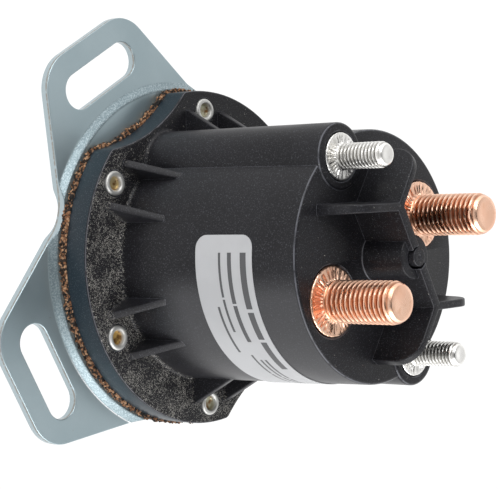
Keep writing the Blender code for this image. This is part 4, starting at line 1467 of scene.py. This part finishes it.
@dataclass
class Housing:
    """The moulding: flange, body, lobes, gussets and barrier, hollow from below. Sizes in millimetres."""

    flange: tuple[float, float] = (4.6, 10.0)
    flange_radius: float = 33.7
    notch: tuple[float, float, float] = (29.4, 33.0, 1.5)
    body_radius: float = 24.7
    draft: float = math.tan(math.radians(1.05))
    wall: float = 2.4
    face: float = 53.3
    chamber_top: float = 48.3
    root: float = 7.3
    edge: float = 0.7
    foot: float = 0.8
    sink: float = 0.03
    lobe: tuple[float, float, float] = (COIL_AT, 6.3, 53.7)
    lobe_draft: float = 0.2
    gusset: tuple[float, float, float, float] = (4.7, 1.6, 29.6, 20.7)
    gusset_draft: float = 0.012
    gusset_root: float = 1.2
    barrier_top: float = 63.2
    barrier_root: float = 50.8
    fork: float = 10.7
    arm: tuple[float, float] = (10.8, 5.8)
    arm_corner: float = 5.0
    wall_thick: Place = (2.0, 3.2)
    arm_thick: Place = (1.5, 2.1)
    overlap: float = 1.0
    boss: tuple[float, float, float] = (4.1, 4.7, 62.1)
    boss_rounds: Place = (0.4, 0.5)
    recess: tuple[float, float] = (2.15, 55.0)
    recess_at: Place = (-0.25, 0)
    power_hole: tuple[float, float, float, float] = (6.62, 52.4, 4.27, 43.0)
    coil_hole: tuple[float, float, float, float] = (4.6, 52.7, 2.715, 43.0)
    rivet_hole: tuple[float, float, float, float] = (2.6, 9.5, 1.9, 0)
    clear: float = 8.0
    steps: int = 256
    hole_steps: int = 96

    def radius_at(self, height: float | np.ndarray) -> float | np.ndarray:
        """The drafted body's radius."""
        return self.body_radius - (height - self.flange[1]) * self.draft

    @staticmethod
    def column(
        top: Place, low: Place, base: Place, rounds: Place, steps: int, centre: Place = (0, 0)
    ) -> Shell:
        """A round column with a rounded top edge, a fillet at its foot and a base sunk in what it stands on.

        Args:
            top: Radius and height of the top edge.
            low: Radius and height of the foot.
            base: Radius and height of the base's lower edge.
            rounds: The radius of the top edge's round and the radius of the fillet.
            steps: Points round the column.
            centre: Where its axis stands.

        Returns:
            A closed shell.
        """
        profile = rounded([
            (0, top[1], 0),
            (*top, rounds[0]),
            (*low, rounds[1]),
            (base[0], low[1], 0),
            (*base, 0),
            (0, base[1], 0),
        ])
        return revolved(profile, steps, centre)

    def body(self) -> Shell:
        """The drafted cylinder, round at its face and filleted at its foot.

        Returns:
            A closed shell.
        """
        top = (self.radius_at(self.face), self.face)
        low = (self.body_radius, self.flange[1] - self.sink)
        base = (self.body_radius + 2 * self.foot, self.root)
        return self.column(top, low, base, (self.edge, self.foot), self.steps)

    def lobes(self) -> list[Shell]:
        """The two half columns that carry the small studs.

        Returns:
            Two closed shells.
        """
        at, radius, top = self.lobe
        low = (radius + self.lobe_draft, self.flange[1] - self.sink)
        base = (radius + 2 * self.foot, self.root)
        rounds = (self.edge, self.foot)
        return [
            self.column((radius, top), low, base, rounds, self.steps // 2, (0, side * at)) for side in (-1, 1)
        ]

    def gussets(self) -> Shell:
        """Twelve triangular ribs, two beside each rivet.

        Returns:
            The ribs as one shell.
        """
        offset, thick, reach, top = self.gusset
        inner = math.sqrt(self.radius_at(top) ** 2 - offset**2)
        outline = rounded([
            (inner - self.gusset_root, self.root, 0),
            (reach, self.root, 0),
            (reach, self.flange[1] + 0.4, 0.3),
            (inner, top, 0.2),
            (inner - self.gusset_root, top, 0),
        ], closed=True)
        loop = evenly(outline, 0.5)

        def half(place: np.ndarray) -> np.ndarray:
            """Half the thickness, which tapers upwards."""
            return thick / 2 - self.gusset_draft * (place[..., 1] - self.flange[1])

        rib = Plate([loop], half, lambda p: -half(p), 0.25, 0.25).shell()
        ribs = []
        for i in range(RIVETS):
            for side in (-1, 1):
                stood = rib.moved(lambda p, s=side: np.column_stack([p[:, 0], s * offset + p[:, 2], p[:, 1]]))
                ribs.append(stood.turned(i * TURN / RIVETS))
        return Shell.together(ribs)

    def barrier_wall(self, start: Place, end: Place, top: float, foot: float, corner: float) -> Shell:
        """A tapered wall that stands on the face from one place to another.

        Args:
            start: Where it starts.
            end: Where it ends.
            top: Its thickness at the top.
            foot: Its thickness on the face.
            corner: The radius of its upper corner at the end.

        Returns:
            A closed shell.
        """
        start_at, run = np.array(start), np.array(end) - np.array(start)
        length = np.linalg.norm(run)
        along = run / length
        across = np.array([-along[1], along[0]])
        outline = rounded([
            (-self.overlap, self.barrier_root, self.overlap / 2),
            (length, self.barrier_root, self.overlap / 2),
            (length, self.barrier_top, corner),
            (-self.overlap, self.barrier_top, self.overlap / 2),
        ], closed=True, steps=12)
        loop = evenly(outline, 0.3)

        def half(place: np.ndarray) -> np.ndarray:
            """Half the thickness by height."""
            share = np.clip((place[..., 1] - self.face) / (self.barrier_top - self.face), 0, 1)
            return (foot + (top - foot) * share) / 2

        slab = Plate([loop], half, lambda p: -half(p), 0.3, 0.3).shell()

        def stand(p: np.ndarray) -> np.ndarray:
            """Puts the slab's length along the run, its height up and its thickness across."""
            return np.column_stack([start_at + p[:, :1] * along + p[:, 2:] * across, p[:, 1]])

        return slab.moved(stand)

    def barrier(self) -> list[Shell]:
        """The middle wall, its four arms and the boss of the vent plug.

        Returns:
            Closed shells that overlap.
        """
        end = self.fork + self.overlap
        shells = [self.barrier_wall((0, -self.fork), (0, end), *self.wall_thick, self.overlap / 2)]
        for side in (-1, 1):
            for end in (-1, 1):
                tip = (side * self.arm[0], end * (self.fork + self.arm[1]))
                shells.append(self.barrier_wall((0, end * self.fork), tip, *self.arm_thick, self.arm_corner))
        top_radius, foot_radius, top = self.boss
        low = (foot_radius, self.face - self.sink)
        base = (foot_radius + 1, self.barrier_root)
        boss = self.column((top_radius, top), low, base, self.boss_rounds, self.hole_steps)
        return shells + [boss]

    def stepped_hole(self, top: float, hole: tuple[float, float, float, float], rim: float) -> np.ndarray:
        """The profile of a counterbored hole with a broken edge.

        Args:
            top: The height of the face that it is cut into.
            hole: The wide radius, the seat's height, the narrow radius and the bottom's height.
            rim: The size of the broken edge.

        Returns:
            Radius and height of each point, from above the face to the bottom.
        """
        wide, seat, narrow, bottom = hole
        return np.array([
            (0, top + self.clear),
            (wide + 2 * rim, top + self.clear),
            (wide + 2 * rim, top + rim),
            (wide, top - rim),
            (wide, seat),
            (narrow, seat),
            (narrow, bottom),
            (0, bottom),
        ])

    def cutters(self) -> list[Shell]:
        """The chamber, and the holes for studs, plug and rivets.

        Returns:
            Closed shells to cut away.
        """
        top = self.radius_at(self.chamber_top) - self.wall
        low = self.radius_at(self.flange[0]) - self.wall
        chamber = [(0, self.chamber_top), (top, self.chamber_top), (low, self.flange[0]), (low, 0), (0, 0)]
        power = self.stepped_hole(self.face, self.power_hole, 0.30)
        coil = self.stepped_hole(self.lobe[2], self.coil_hole, 0.20)
        rivet = self.stepped_hole(self.flange[1], self.rivet_hole, 0.10)
        radius, floor = self.recess
        above = self.barrier_top + self.clear
        plug = [
            (0, above),
            (radius + 0.2, above),
            (radius + 0.2, self.barrier_top + 0.1),
            (radius, self.barrier_top - 0.1),
            (radius, floor),
            (0, floor),
        ]
        steps = self.hole_steps
        small = [revolved(power, steps, (side * POWER_AT, 0)) for side in (-1, 1)]
        small += [revolved(coil, steps, (0, side * COIL_AT)) for side in (-1, 1)]
        small += [revolved(rivet, steps // 2, centre) for centre in rivet_places()]
        return [revolved(chamber, steps), Shell.together(small), revolved(plug, 64, self.recess_at)]

    def build(self, materials: Materials) -> bpy.types.Object:
        """The moulding as one closed skin.

        Args:
            materials: The finish of each slot.

        Returns:
            The piece.
        """
        loop = notched_outline(self.flange_radius, *self.notch, 0.5)
        low, high = self.flange
        flange = Plate([loop], flat(high), flat(low), 0.4, 0.15, side_rows=2).shell()
        added = [self.body(), *self.lobes(), self.gussets(), *self.barrier()]
        mesh = carved("moulded_housing", flange, added, self.cutters())
        return put(mesh, Slot.MOULDING, materials, "housing")


@dataclass
class Stud:
    """A threaded stud with a serrated head, carried down to its inner end. Sizes in millimetres."""

    node: str
    name: str
    slot: Slot
    place: Place
    radius: float
    root: float
    pitch: float
    tip: float
    tip_radius: float
    tip_length: float
    plain_tip: float
    head: tuple[float, float, float]
    teeth: int
    tooth: float
    inner: tuple[tuple[float, float], ...]
    slope: float = 0.22
    steps: int = 372
    rows_a_turn: int = 10
    rim: float = 0.25
    collar: float = 0.15
    dimple: float = 0.05
    flank: Place = (0.14, 0.66)
    blank_share: float = 0.45

    def thread(self, height: np.ndarray, angle: np.ndarray) -> np.ndarray:
        """Radius of the thread.

        It rises and falls once in each pitch along a helix, as a triangle with its crest and root
        rounded. It fades out before the tip and at the head, and the tip curves in like a sine.

        Args:
            height: Rows of heights.
            angle: Columns of angles.

        Returns:
            The radius at each row and column.
        """
        phase = height / self.pitch - angle / TURN
        rise = 1 - np.abs(2 * (phase - np.floor(phase)) - 1)
        start, run = self.flank
        shape = smooth((rise - start) / run)
        below = self.tip - height
        fade = smooth((below - self.plain_tip) / self.pitch)
        fade = fade * smooth((height - self.head[1]) / (0.8 * self.pitch))
        blank = self.radius - self.blank_share * (self.radius - self.root)
        cut = self.root + (self.radius - self.root) * shape
        round_in = np.sin(math.pi / 2 * np.clip(below / self.tip_length, 0, 1)) ** 0.85
        limit = self.tip_radius + (self.radius - self.tip_radius) * round_in
        return np.minimum(blank + (cut - blank) * fade, limit)

    def surface(self) -> tuple[np.ndarray, np.ndarray]:
        """The whole skin, from the tip down the thread and over the head to the inner end.

        The teeth of the head are S-curves round it, of uneven width and lean, which swell from the thread
        outwards by the root of a sine.

        Returns:
            Radius and height of every point.
        """
        angle = np.arange(self.steps) * TURN / self.steps
        low, top, wide = self.head
        ones = np.ones(self.steps)
        flat_rows = np.linspace(0, self.tip_radius - 0.12, 6)[:, None] * ones
        dimple = self.dimple * np.cos(np.linspace(0, math.pi, 6))[:, None] * ones
        count = int((self.tip - top) / self.pitch * self.rows_a_turn)
        height = np.linspace(self.tip - 2 * self.dimple, top + self.collar, count)[:, None] * ones
        thread = self.thread(height, angle)
        share = np.linspace(0, 1, 14)[:, None]
        turns = angle * self.teeth / TURN + 0.20 * np.sin(5 * angle + 0.7) + 0.15 * np.sin(9 * angle + 2.1)
        phase = turns % 1
        lean = np.sin(12.9 * np.floor(turns) % 7.3 + 0.9)
        tooth = smooth(np.minimum(phase, 1 - phase) / 0.30) * (1 + 0.9 * lean * (phase - 0.5)) - 0.5
        edge = wide * (1 - 0.010 * (0.5 - tooth))
        spread = thread[-1:] + (edge - self.rim - thread[-1:]) * share
        swell = np.sin(math.pi * np.clip(share * 1.1, 0, 1)) ** 0.5
        crown = top + self.collar * (1 - smooth(share / 0.18))
        crown = crown + self.tooth * (tooth - 0.5) * swell - self.slope * share
        bend = np.linspace(0, math.pi / 2, 4)[:, None]
        rim = edge - self.rim + self.rim * np.sin(bend)
        rim_height = crown[-1:] - self.rim * (1 - np.cos(bend))
        inner = np.array([(wide, low), *self.inner])[:, :, None] * ones
        radius = np.vstack([flat_rows, thread, spread[1:], rim[1:], inner[:, 0]])
        heights = np.vstack([self.tip - self.dimple - dimple, height, crown[1:], rim_height[1:], inner[:, 1]])
        return radius, heights

    def build(self, materials: Materials) -> bpy.types.Object:
        """The stud, with the low places of its thread and teeth marked for the finish, which darkens them as
        partly tarnish and partly painted shade.

        Args:
            materials: The finish of each slot.

        Returns:
            The piece.
        """
        radius, height = self.surface()
        mesh = mesh_of(self.name, skin(radius, height, self.place))
        points = points_of(mesh)
        out = np.hypot(points[:, 0] - self.place[0], points[:, 1] - self.place[1])
        thread = np.clip((out - self.root) / (self.radius - self.root), 0, 1)
        lowest = self.head[1] - self.slope - self.tooth
        teeth = 0.72 + 0.28 * np.clip((points[:, 2] - lowest) / self.tooth, 0, 1)
        on_head = (out > self.radius + self.rim) | (points[:, 2] < self.head[1] + 0.1)
        plain = points[:, 2] > self.tip - self.plain_tip
        # depth of the roots and grooves, which the finish darkens: partly tarnish, partly painted shade
        mark(mesh, "stain_and_shade", 1 - np.where(plain, 1, np.where(on_head, teeth, thread)))
        return put(mesh, self.slot, materials, self.node)


@dataclass
class Terminals:
    """The two power studs and the two coil studs. Sizes in millimetres."""

    power_end: tuple[Place, ...] = ((3.97, 52.7), (3.97, 48.0), (5.0, 48.0), (5.0, 45.3), (0, 45.3))
    coil_end: tuple[Place, ...] = ((2.415, 53.0), (2.415, 44.5), (0, 44.5))

    def power(self, side: str, x: float) -> Stud:
        """A 5/16-24 copper stud, with its contact head inside.

        Args:
            side: The side that its names end in.
            x: Its place on the X axis.

        Returns:
            The stud.
        """
        return Stud(
            f"power_stud_{side}", f"power_terminal_{side}", Slot.COPPER, (x, 0),
            radius=3.97, root=3.33, pitch=1.0583, tip=69.0, tip_radius=3.15, tip_length=2.0, plain_tip=0.55,
            head=(52.7, 53.8, 6.5), teeth=31, tooth=0.22, inner=self.power_end,
        )

    def coil(self, side: str, y: float) -> Stud:
        """A #10-32 plated stud.

        Args:
            side: The side that its names end in.
            y: Its place on the Y axis.

        Returns:
            The stud.
        """
        return Stud(
            f"coil_stud_{side}", f"coil_terminal_{side}", Slot.TIN, (0, y),
            radius=2.415, root=1.94, pitch=0.79375, tip=64.4, tip_radius=1.7, tip_length=1.5, plain_tip=0.45,
            head=(53.0, 54.1, 4.45), teeth=25, tooth=0.17, inner=self.coil_end, slope=0.16, steps=300,
        )

    def build(self, materials: Materials) -> None:
        """Builds all four.

        Args:
            materials: The finish of each slot.
        """
        for side, x in (("left", -POWER_AT), ("right", POWER_AT)):
            self.power(side, x).build(materials)
        for side, y in (("upper", COIL_AT), ("lower", -COIL_AT)):
            self.coil(side, y).build(materials)


@dataclass
class Rivets:
    """Six tubular rivets, rolled over on the flange and headed under the bracket. Sizes in millimetres."""

    bore: float = 1.15
    mouth: float = 1.45
    ring: float = 2.42
    shank: float = 1.6
    cup_floor: float = 9.3
    roll_at: float = 10.05
    roll_share: float = 0.8
    under_roll: float = 9.75
    rear: tuple[tuple[float, float, float], ...] = ((2.7, 0.8, 0.12), (2.6, 0.3, 0.25), (0, 0.26, 0))
    oval: float = 0.018
    three_lobed: float = 0.012
    steps: int = 72

    def profile(self) -> np.ndarray:
        """Down the cup, up over the rolled ring and down the shank to the rear head.

        Returns:
            Radius and height of each point.
        """
        cup = rounded([
            (0, self.cup_floor, 0),
            (self.bore, self.cup_floor + 0.12, 0.35),
            (self.mouth, self.roll_at, 0),
        ])
        half = (self.ring - self.mouth) / 2
        roll = arc((self.mouth + half, 0), half, math.pi, 0.0, 14)
        roll[:, 1] = self.roll_at + roll[:, 1] * self.roll_share
        foot = rounded([
            (self.ring, self.under_roll, 0),
            (self.shank, self.under_roll, 0),
            (self.shank, self.rear[0][1], 0),
            *self.rear,
        ])
        return np.vstack([cup, roll, foot])

    def build(self, materials: Materials) -> None:
        """Builds the rivets, each pressed a little out of round by two cosines of the angle.

        Args:
            materials: The finish of each slot.
        """
        profile = self.profile()
        angle = np.arange(self.steps) * TURN / self.steps
        for i, centre in enumerate(rivet_places()):
            wobble = 1 + self.oval * np.cos(2 * angle + i) + self.three_lobed * np.cos(3 * angle + 2.1 * i)
            name = f"rivet_{i + 1}"
            shell = skin(profile[:, :1] * wobble, profile[:, 1:] * np.ones(self.steps), centre)
            mesh = mesh_of(f"tubular_{name}", shell)
            points = points_of(mesh)
            out = np.hypot(points[:, 0] - centre[0], points[:, 1] - centre[1])
            in_front = points[:, 2] > self.cup_floor / 2
            mark(mesh, "cup", ((out < self.mouth - 0.05) & in_front).astype(float))
            put(mesh, Slot.RIVET, materials, name)


@dataclass
class Label:
    """A thin film round the body, with round corners. Sizes in millimetres."""

    start: float = math.radians(138.8)
    end: float = math.radians(246)
    low: float = 29.7
    high: float = 43.4
    corner: float = 2.5
    film: tuple[float, float] = (0.05, 0.18)
    mesh_step: Place = (0.7, 1.5)

    def build(self, materials: Materials, housing: Housing) -> bpy.types.Object:
        """The film is drawn flat and then wound on the drafted body.

        Args:
            materials: The finish of each slot.
            housing: The moulding that it lies on.

        Returns:
            The piece.
        """
        middle = (self.start + self.end) / 2
        radius = housing.radius_at((self.low + self.high) / 2)
        half = (self.end - self.start) / 2 * radius
        outline = rounded([
            (-half, self.low, self.corner),
            (half, self.low, self.corner),
            (half, self.high, self.corner),
            (-half, self.high, self.corner),
        ], closed=True, steps=12)
        step, rise = self.mesh_step
        across, up = np.meshgrid(np.arange(-half, half, step), np.arange(self.low, self.high, rise))
        inner = np.column_stack([across.ravel(), up.ravel()])
        near, far = self.film
        sheet = Plate([evenly(outline, 0.35)], flat(far), flat(near), 0.05, 0.02, inner=inner).shell()

        def wind(p: np.ndarray) -> np.ndarray:
            """Length becomes angle, and the sheet's height is added to the body's radius.

            Args:
                p: The flat sheet's points.

            Returns:
                The points on the body.
            """
            angle = middle + p[:, 0] / radius
            reach = housing.radius_at(p[:, 1]) + p[:, 2]
            return np.column_stack([reach * np.cos(angle), reach * np.sin(angle), p[:, 1]])

        return put(mesh_of("label_strip", sheet.moved(wind)), Slot.LABEL, materials, "label")


@dataclass
class Spring:
    """A coil spring inside the body. Sizes in millimetres."""

    node: str
    name: str
    body: str
    joint: str
    radius: float
    wire: float
    turns: int
    low: float
    high: float
    fixed: float
    travel: float
    sides: int = 16
    rings_a_turn: int = 48

    def surface(self) -> Shell:
        """A round wire along a helix.

        The centre line climbs evenly as its angle grows. Each ring round it is spanned by the way out
        from the axis and by the way square to both that and the wire's run. A first and a last ring
        of no size close the ends.

        Returns:
            The wire as a closed shell.
        """
        angle = TURN * np.linspace(0, self.turns, self.rings_a_turn * self.turns + 1)[:, None]
        climb = (self.high - self.low - 2 * self.wire) / (TURN * self.turns)
        out = np.hstack([np.cos(angle), np.sin(angle), 0 * angle])
        run = np.hstack([-np.sin(angle), np.cos(angle), climb / self.radius + 0 * angle])
        over = np.cross(run, out) / math.hypot(1, climb / self.radius)
        centre = self.radius * out + (self.low + self.wire + climb * angle) * np.array([0, 0, 1])
        centre, out, over = (np.pad(rows, ((1, 1), (0, 0)), "edge")[:, None] for rows in (centre, out, over))
        size = np.pad(np.full(len(angle), self.wire), 1)[:, None, None]
        round_wire = np.arange(self.sides)[:, None] * TURN / self.sides
        points = centre + size * (np.cos(round_wire) * out + np.sin(round_wire) * over)
        return Shell(points.reshape(-1, 3), [grid_quads(len(size), self.sides)])

    def build(self, materials: Materials) -> bpy.types.Object:
        """The spring, with a mesh of its own.

        Args:
            materials: The finish of each slot.

        Returns:
            The piece.
        """
        mesh = mesh_of(self.name, self.surface())
        piece = put(mesh, Slot.SPRING, materials, self.node, body=self.body)
        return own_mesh(piece)


@dataclass
class Springs:
    """The spring that returns the plunger and the one that presses the contact disc."""

    travel: float = 2.2
    give: float = 1.0

    def build(self, materials: Materials) -> None:
        """Builds both.

        Args:
            materials: The finish of each slot.
        """
        Spring(
            "return_spring", "plunger_return_spring", BODY, "plunger_travel",
            radius=3.5, wire=0.35, turns=5, low=13.3, high=23.2, fixed=23.2, travel=self.travel,
        ).build(materials)
        Spring(
            "contact_spring", "contact_pressure_spring", "armature", "contact_give",
            radius=2.5, wire=0.30, turns=3, low=36.1, high=39.3, fixed=36.1, travel=self.give,
        ).build(materials)


@dataclass
class VentPlug:
    """The small plug in the barrier's boss. Sizes in millimetres."""

    radius: float = 1.75
    top: float = 63.2
    low: float = 55.3

    def build(self, materials: Materials) -> bpy.types.Object:
        """A pin with a dimple in its end.

        Args:
            materials: The finish of each slot.

        Returns:
            The piece.
        """
        profile = rounded([
            (0, self.top - 0.35, 0),
            (0.3, self.top - 0.3, 0.1),
            (0.6, self.top, 0.2),
            (self.radius, self.top, 0.3),
            (self.radius, self.low, 0),
            (0, self.low, 0),
        ])
        return put(mesh_of("vent_pin", revolved(profile, 64)), Slot.MOULDING, materials, "vent_plug")


@dataclass(frozen=True)
class Viewpoint:
    """The photograph's camera, fitted to the model, in metres and pixels."""

    position: tuple[float, float, float] = (-0.22579, 0.13901, 0.25604)
    right: tuple[float, float, float] = (0.564732, -0.346960, 0.748797)
    up: tuple[float, float, float] = (0.519470, 0.854478, 0.004151)
    back: tuple[float, float, float] = (-0.641271, 0.386633, 0.662787)
    focal_pixels: float = 1780.17
    width_pixels: float = 498
    sensor: float = 36

    def direction(self, right: float, up: float, back: float) -> Vector:
        """A direction given as the picture shows it."""
        return Vector(self.right) * right + Vector(self.up) * up + Vector(self.back) * back

    def build(self) -> None:
        """Makes the scene's camera."""
        data = bpy.data.cameras.new("photo_camera")
        data.sensor_width = self.sensor
        data.lens = self.focal_pixels * self.sensor / self.width_pixels
        data.clip_start = 0.01
        camera = shown("photo_camera", data)
        axes = [Vector(axis).normalized() for axis in (self.right, self.up, self.back)]
        matrix = Matrix(axes).transposed().to_4x4()
        matrix.translation = self.position
        camera.matrix_world = matrix
        bpy.context.scene.camera = camera


@dataclass(frozen=True)
class SoftLight:
    """An area light, placed by the direction in which the picture shows it."""

    name: str
    toward: tuple[float, float, float]
    distance: float
    size: float
    watts: float
    mirrored: bool = True

    def build(self, view: Viewpoint, target: Vector) -> None:
        """Hangs the light and points it at the target. Glossy surfaces may be kept from mirroring it.

        Args:
            view: The photograph's camera.
            target: What the light points at.
        """
        data = bpy.data.lights.new(self.name, "AREA")
        data.shape = "SQUARE"
        data.size = self.size
        data.energy = self.watts
        lamp = shown(self.name, data)
        lamp.visible_glossy = self.mirrored
        away = view.direction(*self.toward).normalized()
        lamp.rotation_mode = "QUATERNION"
        lamp.rotation_quaternion = away.to_track_quat("Z", "Y")
        lamp.location = target + away * self.distance


@dataclass(frozen=True)
class Glow:
    """A soft bright side of the room, given by the direction in which the picture shows it."""

    toward: tuple[float, float, float]
    start: float
    end: float
    level: float


@dataclass
class Studio:
    """Floor, world and lights."""

    view: Viewpoint = field(default_factory=Viewpoint)
    target: Vector = field(default_factory=lambda: Vector((0, 0, 0.03)))
    ambient: float = 0.42
    room: float = 0.04
    floor_glow: float = 1.20
    floor_white: float = 1.06
    floor_colour: Colour = (0.86, 0.86, 0.86)
    floor_half: float = 1500.0
    floor_drop: float = -0.2
    glows: tuple[Glow, ...] = (
        Glow((0, 0, -1), -0.10, 0.45, 1.2),
        Glow((1, 0, -0.1), 0.50, 0.98, 0.78),
        Glow((-0.9, -0.05, 0.35), 0.30, 0.95, 1.6),
        Glow((0, 1, 0.1), 0.30, 0.95, 1.4),
        Glow((0, -1, 0), 0.20, 0.95, 2.2),
    )
    lights: tuple[SoftLight, ...] = (
        SoftLight("top_light", (-0.20, 0.85, 0.45), 0.55, 0.35, 1.10),
        SoftLight("high_light", (0.25, 0.50, 0.80), 0.60, 0.30, 0.80),
        SoftLight("left_light", (-0.80, -0.30, 0.45), 0.60, 0.30, 2.00),
        SoftLight("low_light", (0.10, -0.85, 0.40), 0.60, 0.35, 1.60),
        SoftLight("front_light", (0.25, -0.50, 0.80), 0.60, 0.30, 0.55, mirrored=False),
    )

    @staticmethod
    def mirrored(graph: Graph) -> Socket:
        """1 for glossy and transmission rays."""
        path = graph.add("ShaderNodeLightPath").outputs
        return graph.math("ADD", path["Is Glossy Ray"], path["Is Transmission Ray"], clamp=True)

    def world(self) -> None:
        """White behind the object, and for reflections a room with bright sides, dark round the camera."""
        world = bpy.data.worlds.new("studio")
        world.use_nodes = True
        world.node_tree.nodes.clear()
        graph = Graph(world.node_tree)
        direction = graph.coordinate("Generated")
        level: Value = self.room
        for glow in self.glows:
            toward = graph.dot(direction, self.view.direction(*glow.toward).normalized())
            level = graph.higher(level, graph.times(graph.ramp(toward, glow.start, glow.end), glow.level))
        strengths = ((level, 1.0), (rgba(WHITE), 1.0), (rgba(WHITE), self.ambient))
        room, white, ambient = (
            graph.add("ShaderNodeBackground", {"Color": colour, "Strength": strength}).outputs[0]
            for colour, strength in strengths
        )
        camera = graph.add("ShaderNodeLightPath").outputs["Is Camera Ray"]
        both = graph.add("ShaderNodeMixShader", {0: self.mirrored(graph), 1: ambient, 2: room})
        whole = graph.add("ShaderNodeMixShader", {0: camera, 1: both.outputs[0], 2: white})
        graph.add("ShaderNodeOutputWorld", {"Surface": whole.outputs[0]})
        bpy.context.scene.world = world

    def floor(self) -> None:
        """A pale floor that shows as white and keeps a faint shadow."""
        corners = [(-1, -1), (1, -1), (1, 1), (-1, 1)]
        points = np.array([(x * self.floor_half, y * self.floor_half, self.floor_drop) for x, y in corners])
        mesh = bpy.data.meshes.new("floor")
        mesh.from_pydata((points * MM).tolist(), [], [[0, 1, 2, 3]])
        material = bpy.data.materials.new("pale_floor")
        material.use_nodes = True
        material.node_tree.nodes.clear()
        graph = Graph(material.node_tree)
        camera = graph.add("ShaderNodeLightPath").outputs["Is Camera Ray"]
        seen = graph.math("ADD", camera, self.mirrored(graph), clamp=True)
        matt = graph.add("ShaderNodeBsdfDiffuse", {"Color": rgba(self.floor_colour)})
        glow = graph.add("ShaderNodeEmission", {"Color": rgba(WHITE), "Strength": self.floor_white})
        inputs = {0: graph.times(seen, self.floor_glow), 1: matt.outputs[0], 2: glow.outputs[0]}
        both = graph.add("ShaderNodeMixShader", inputs)
        graph.add("ShaderNodeOutputMaterial", {"Surface": both.outputs[0]})
        mesh.materials.append(material)
        shown("floor", mesh)

    def build(self) -> None:
        """Sets the whole studio up."""
        bpy.context.scene.view_settings.view_transform = "Standard"
        self.view.build()
        self.world()
        self.floor()
        for light in self.lights:
            light.build(self.view, self.target)


def clear_rest() -> None:
    """Removes everything that isn't part of the frame."""
    kept = {*frame["bodies"].values(), *frame["nodes"].values()}
    for obj in list(bpy.data.objects):
        if obj not in kept:
            bpy.data.objects.remove(obj)


def dress_inner_nodes(materials: Materials) -> None:
    """Gives every CAD node that stays the finish of its slot.

    Args:
        materials: The finish of each slot.
    """
    for row in frame["record"]["subparts"]:
        node = frame["nodes"][row["node"]]
        node.data.materials.clear()
        node.data.materials.append(materials[Slot(row["material_slot"])])


def main() -> None:
    """Builds the pieces in order."""
    logging.basicConfig(level=logging.INFO, format="%(message)s")
    clear_rest()
    Studio().build()
    materials = finishes(GroupKit())
    dress_inner_nodes(materials)
    housing = Housing()
    Bracket().build(materials)
    CorkGasket().build(materials)
    housing.build(materials)
    Rivets().build(materials)
    Terminals().build(materials)
    Label().build(materials, housing)
    VentPlug().build(materials)
    Springs().build(materials)


if __name__ == "__main__":
    main()
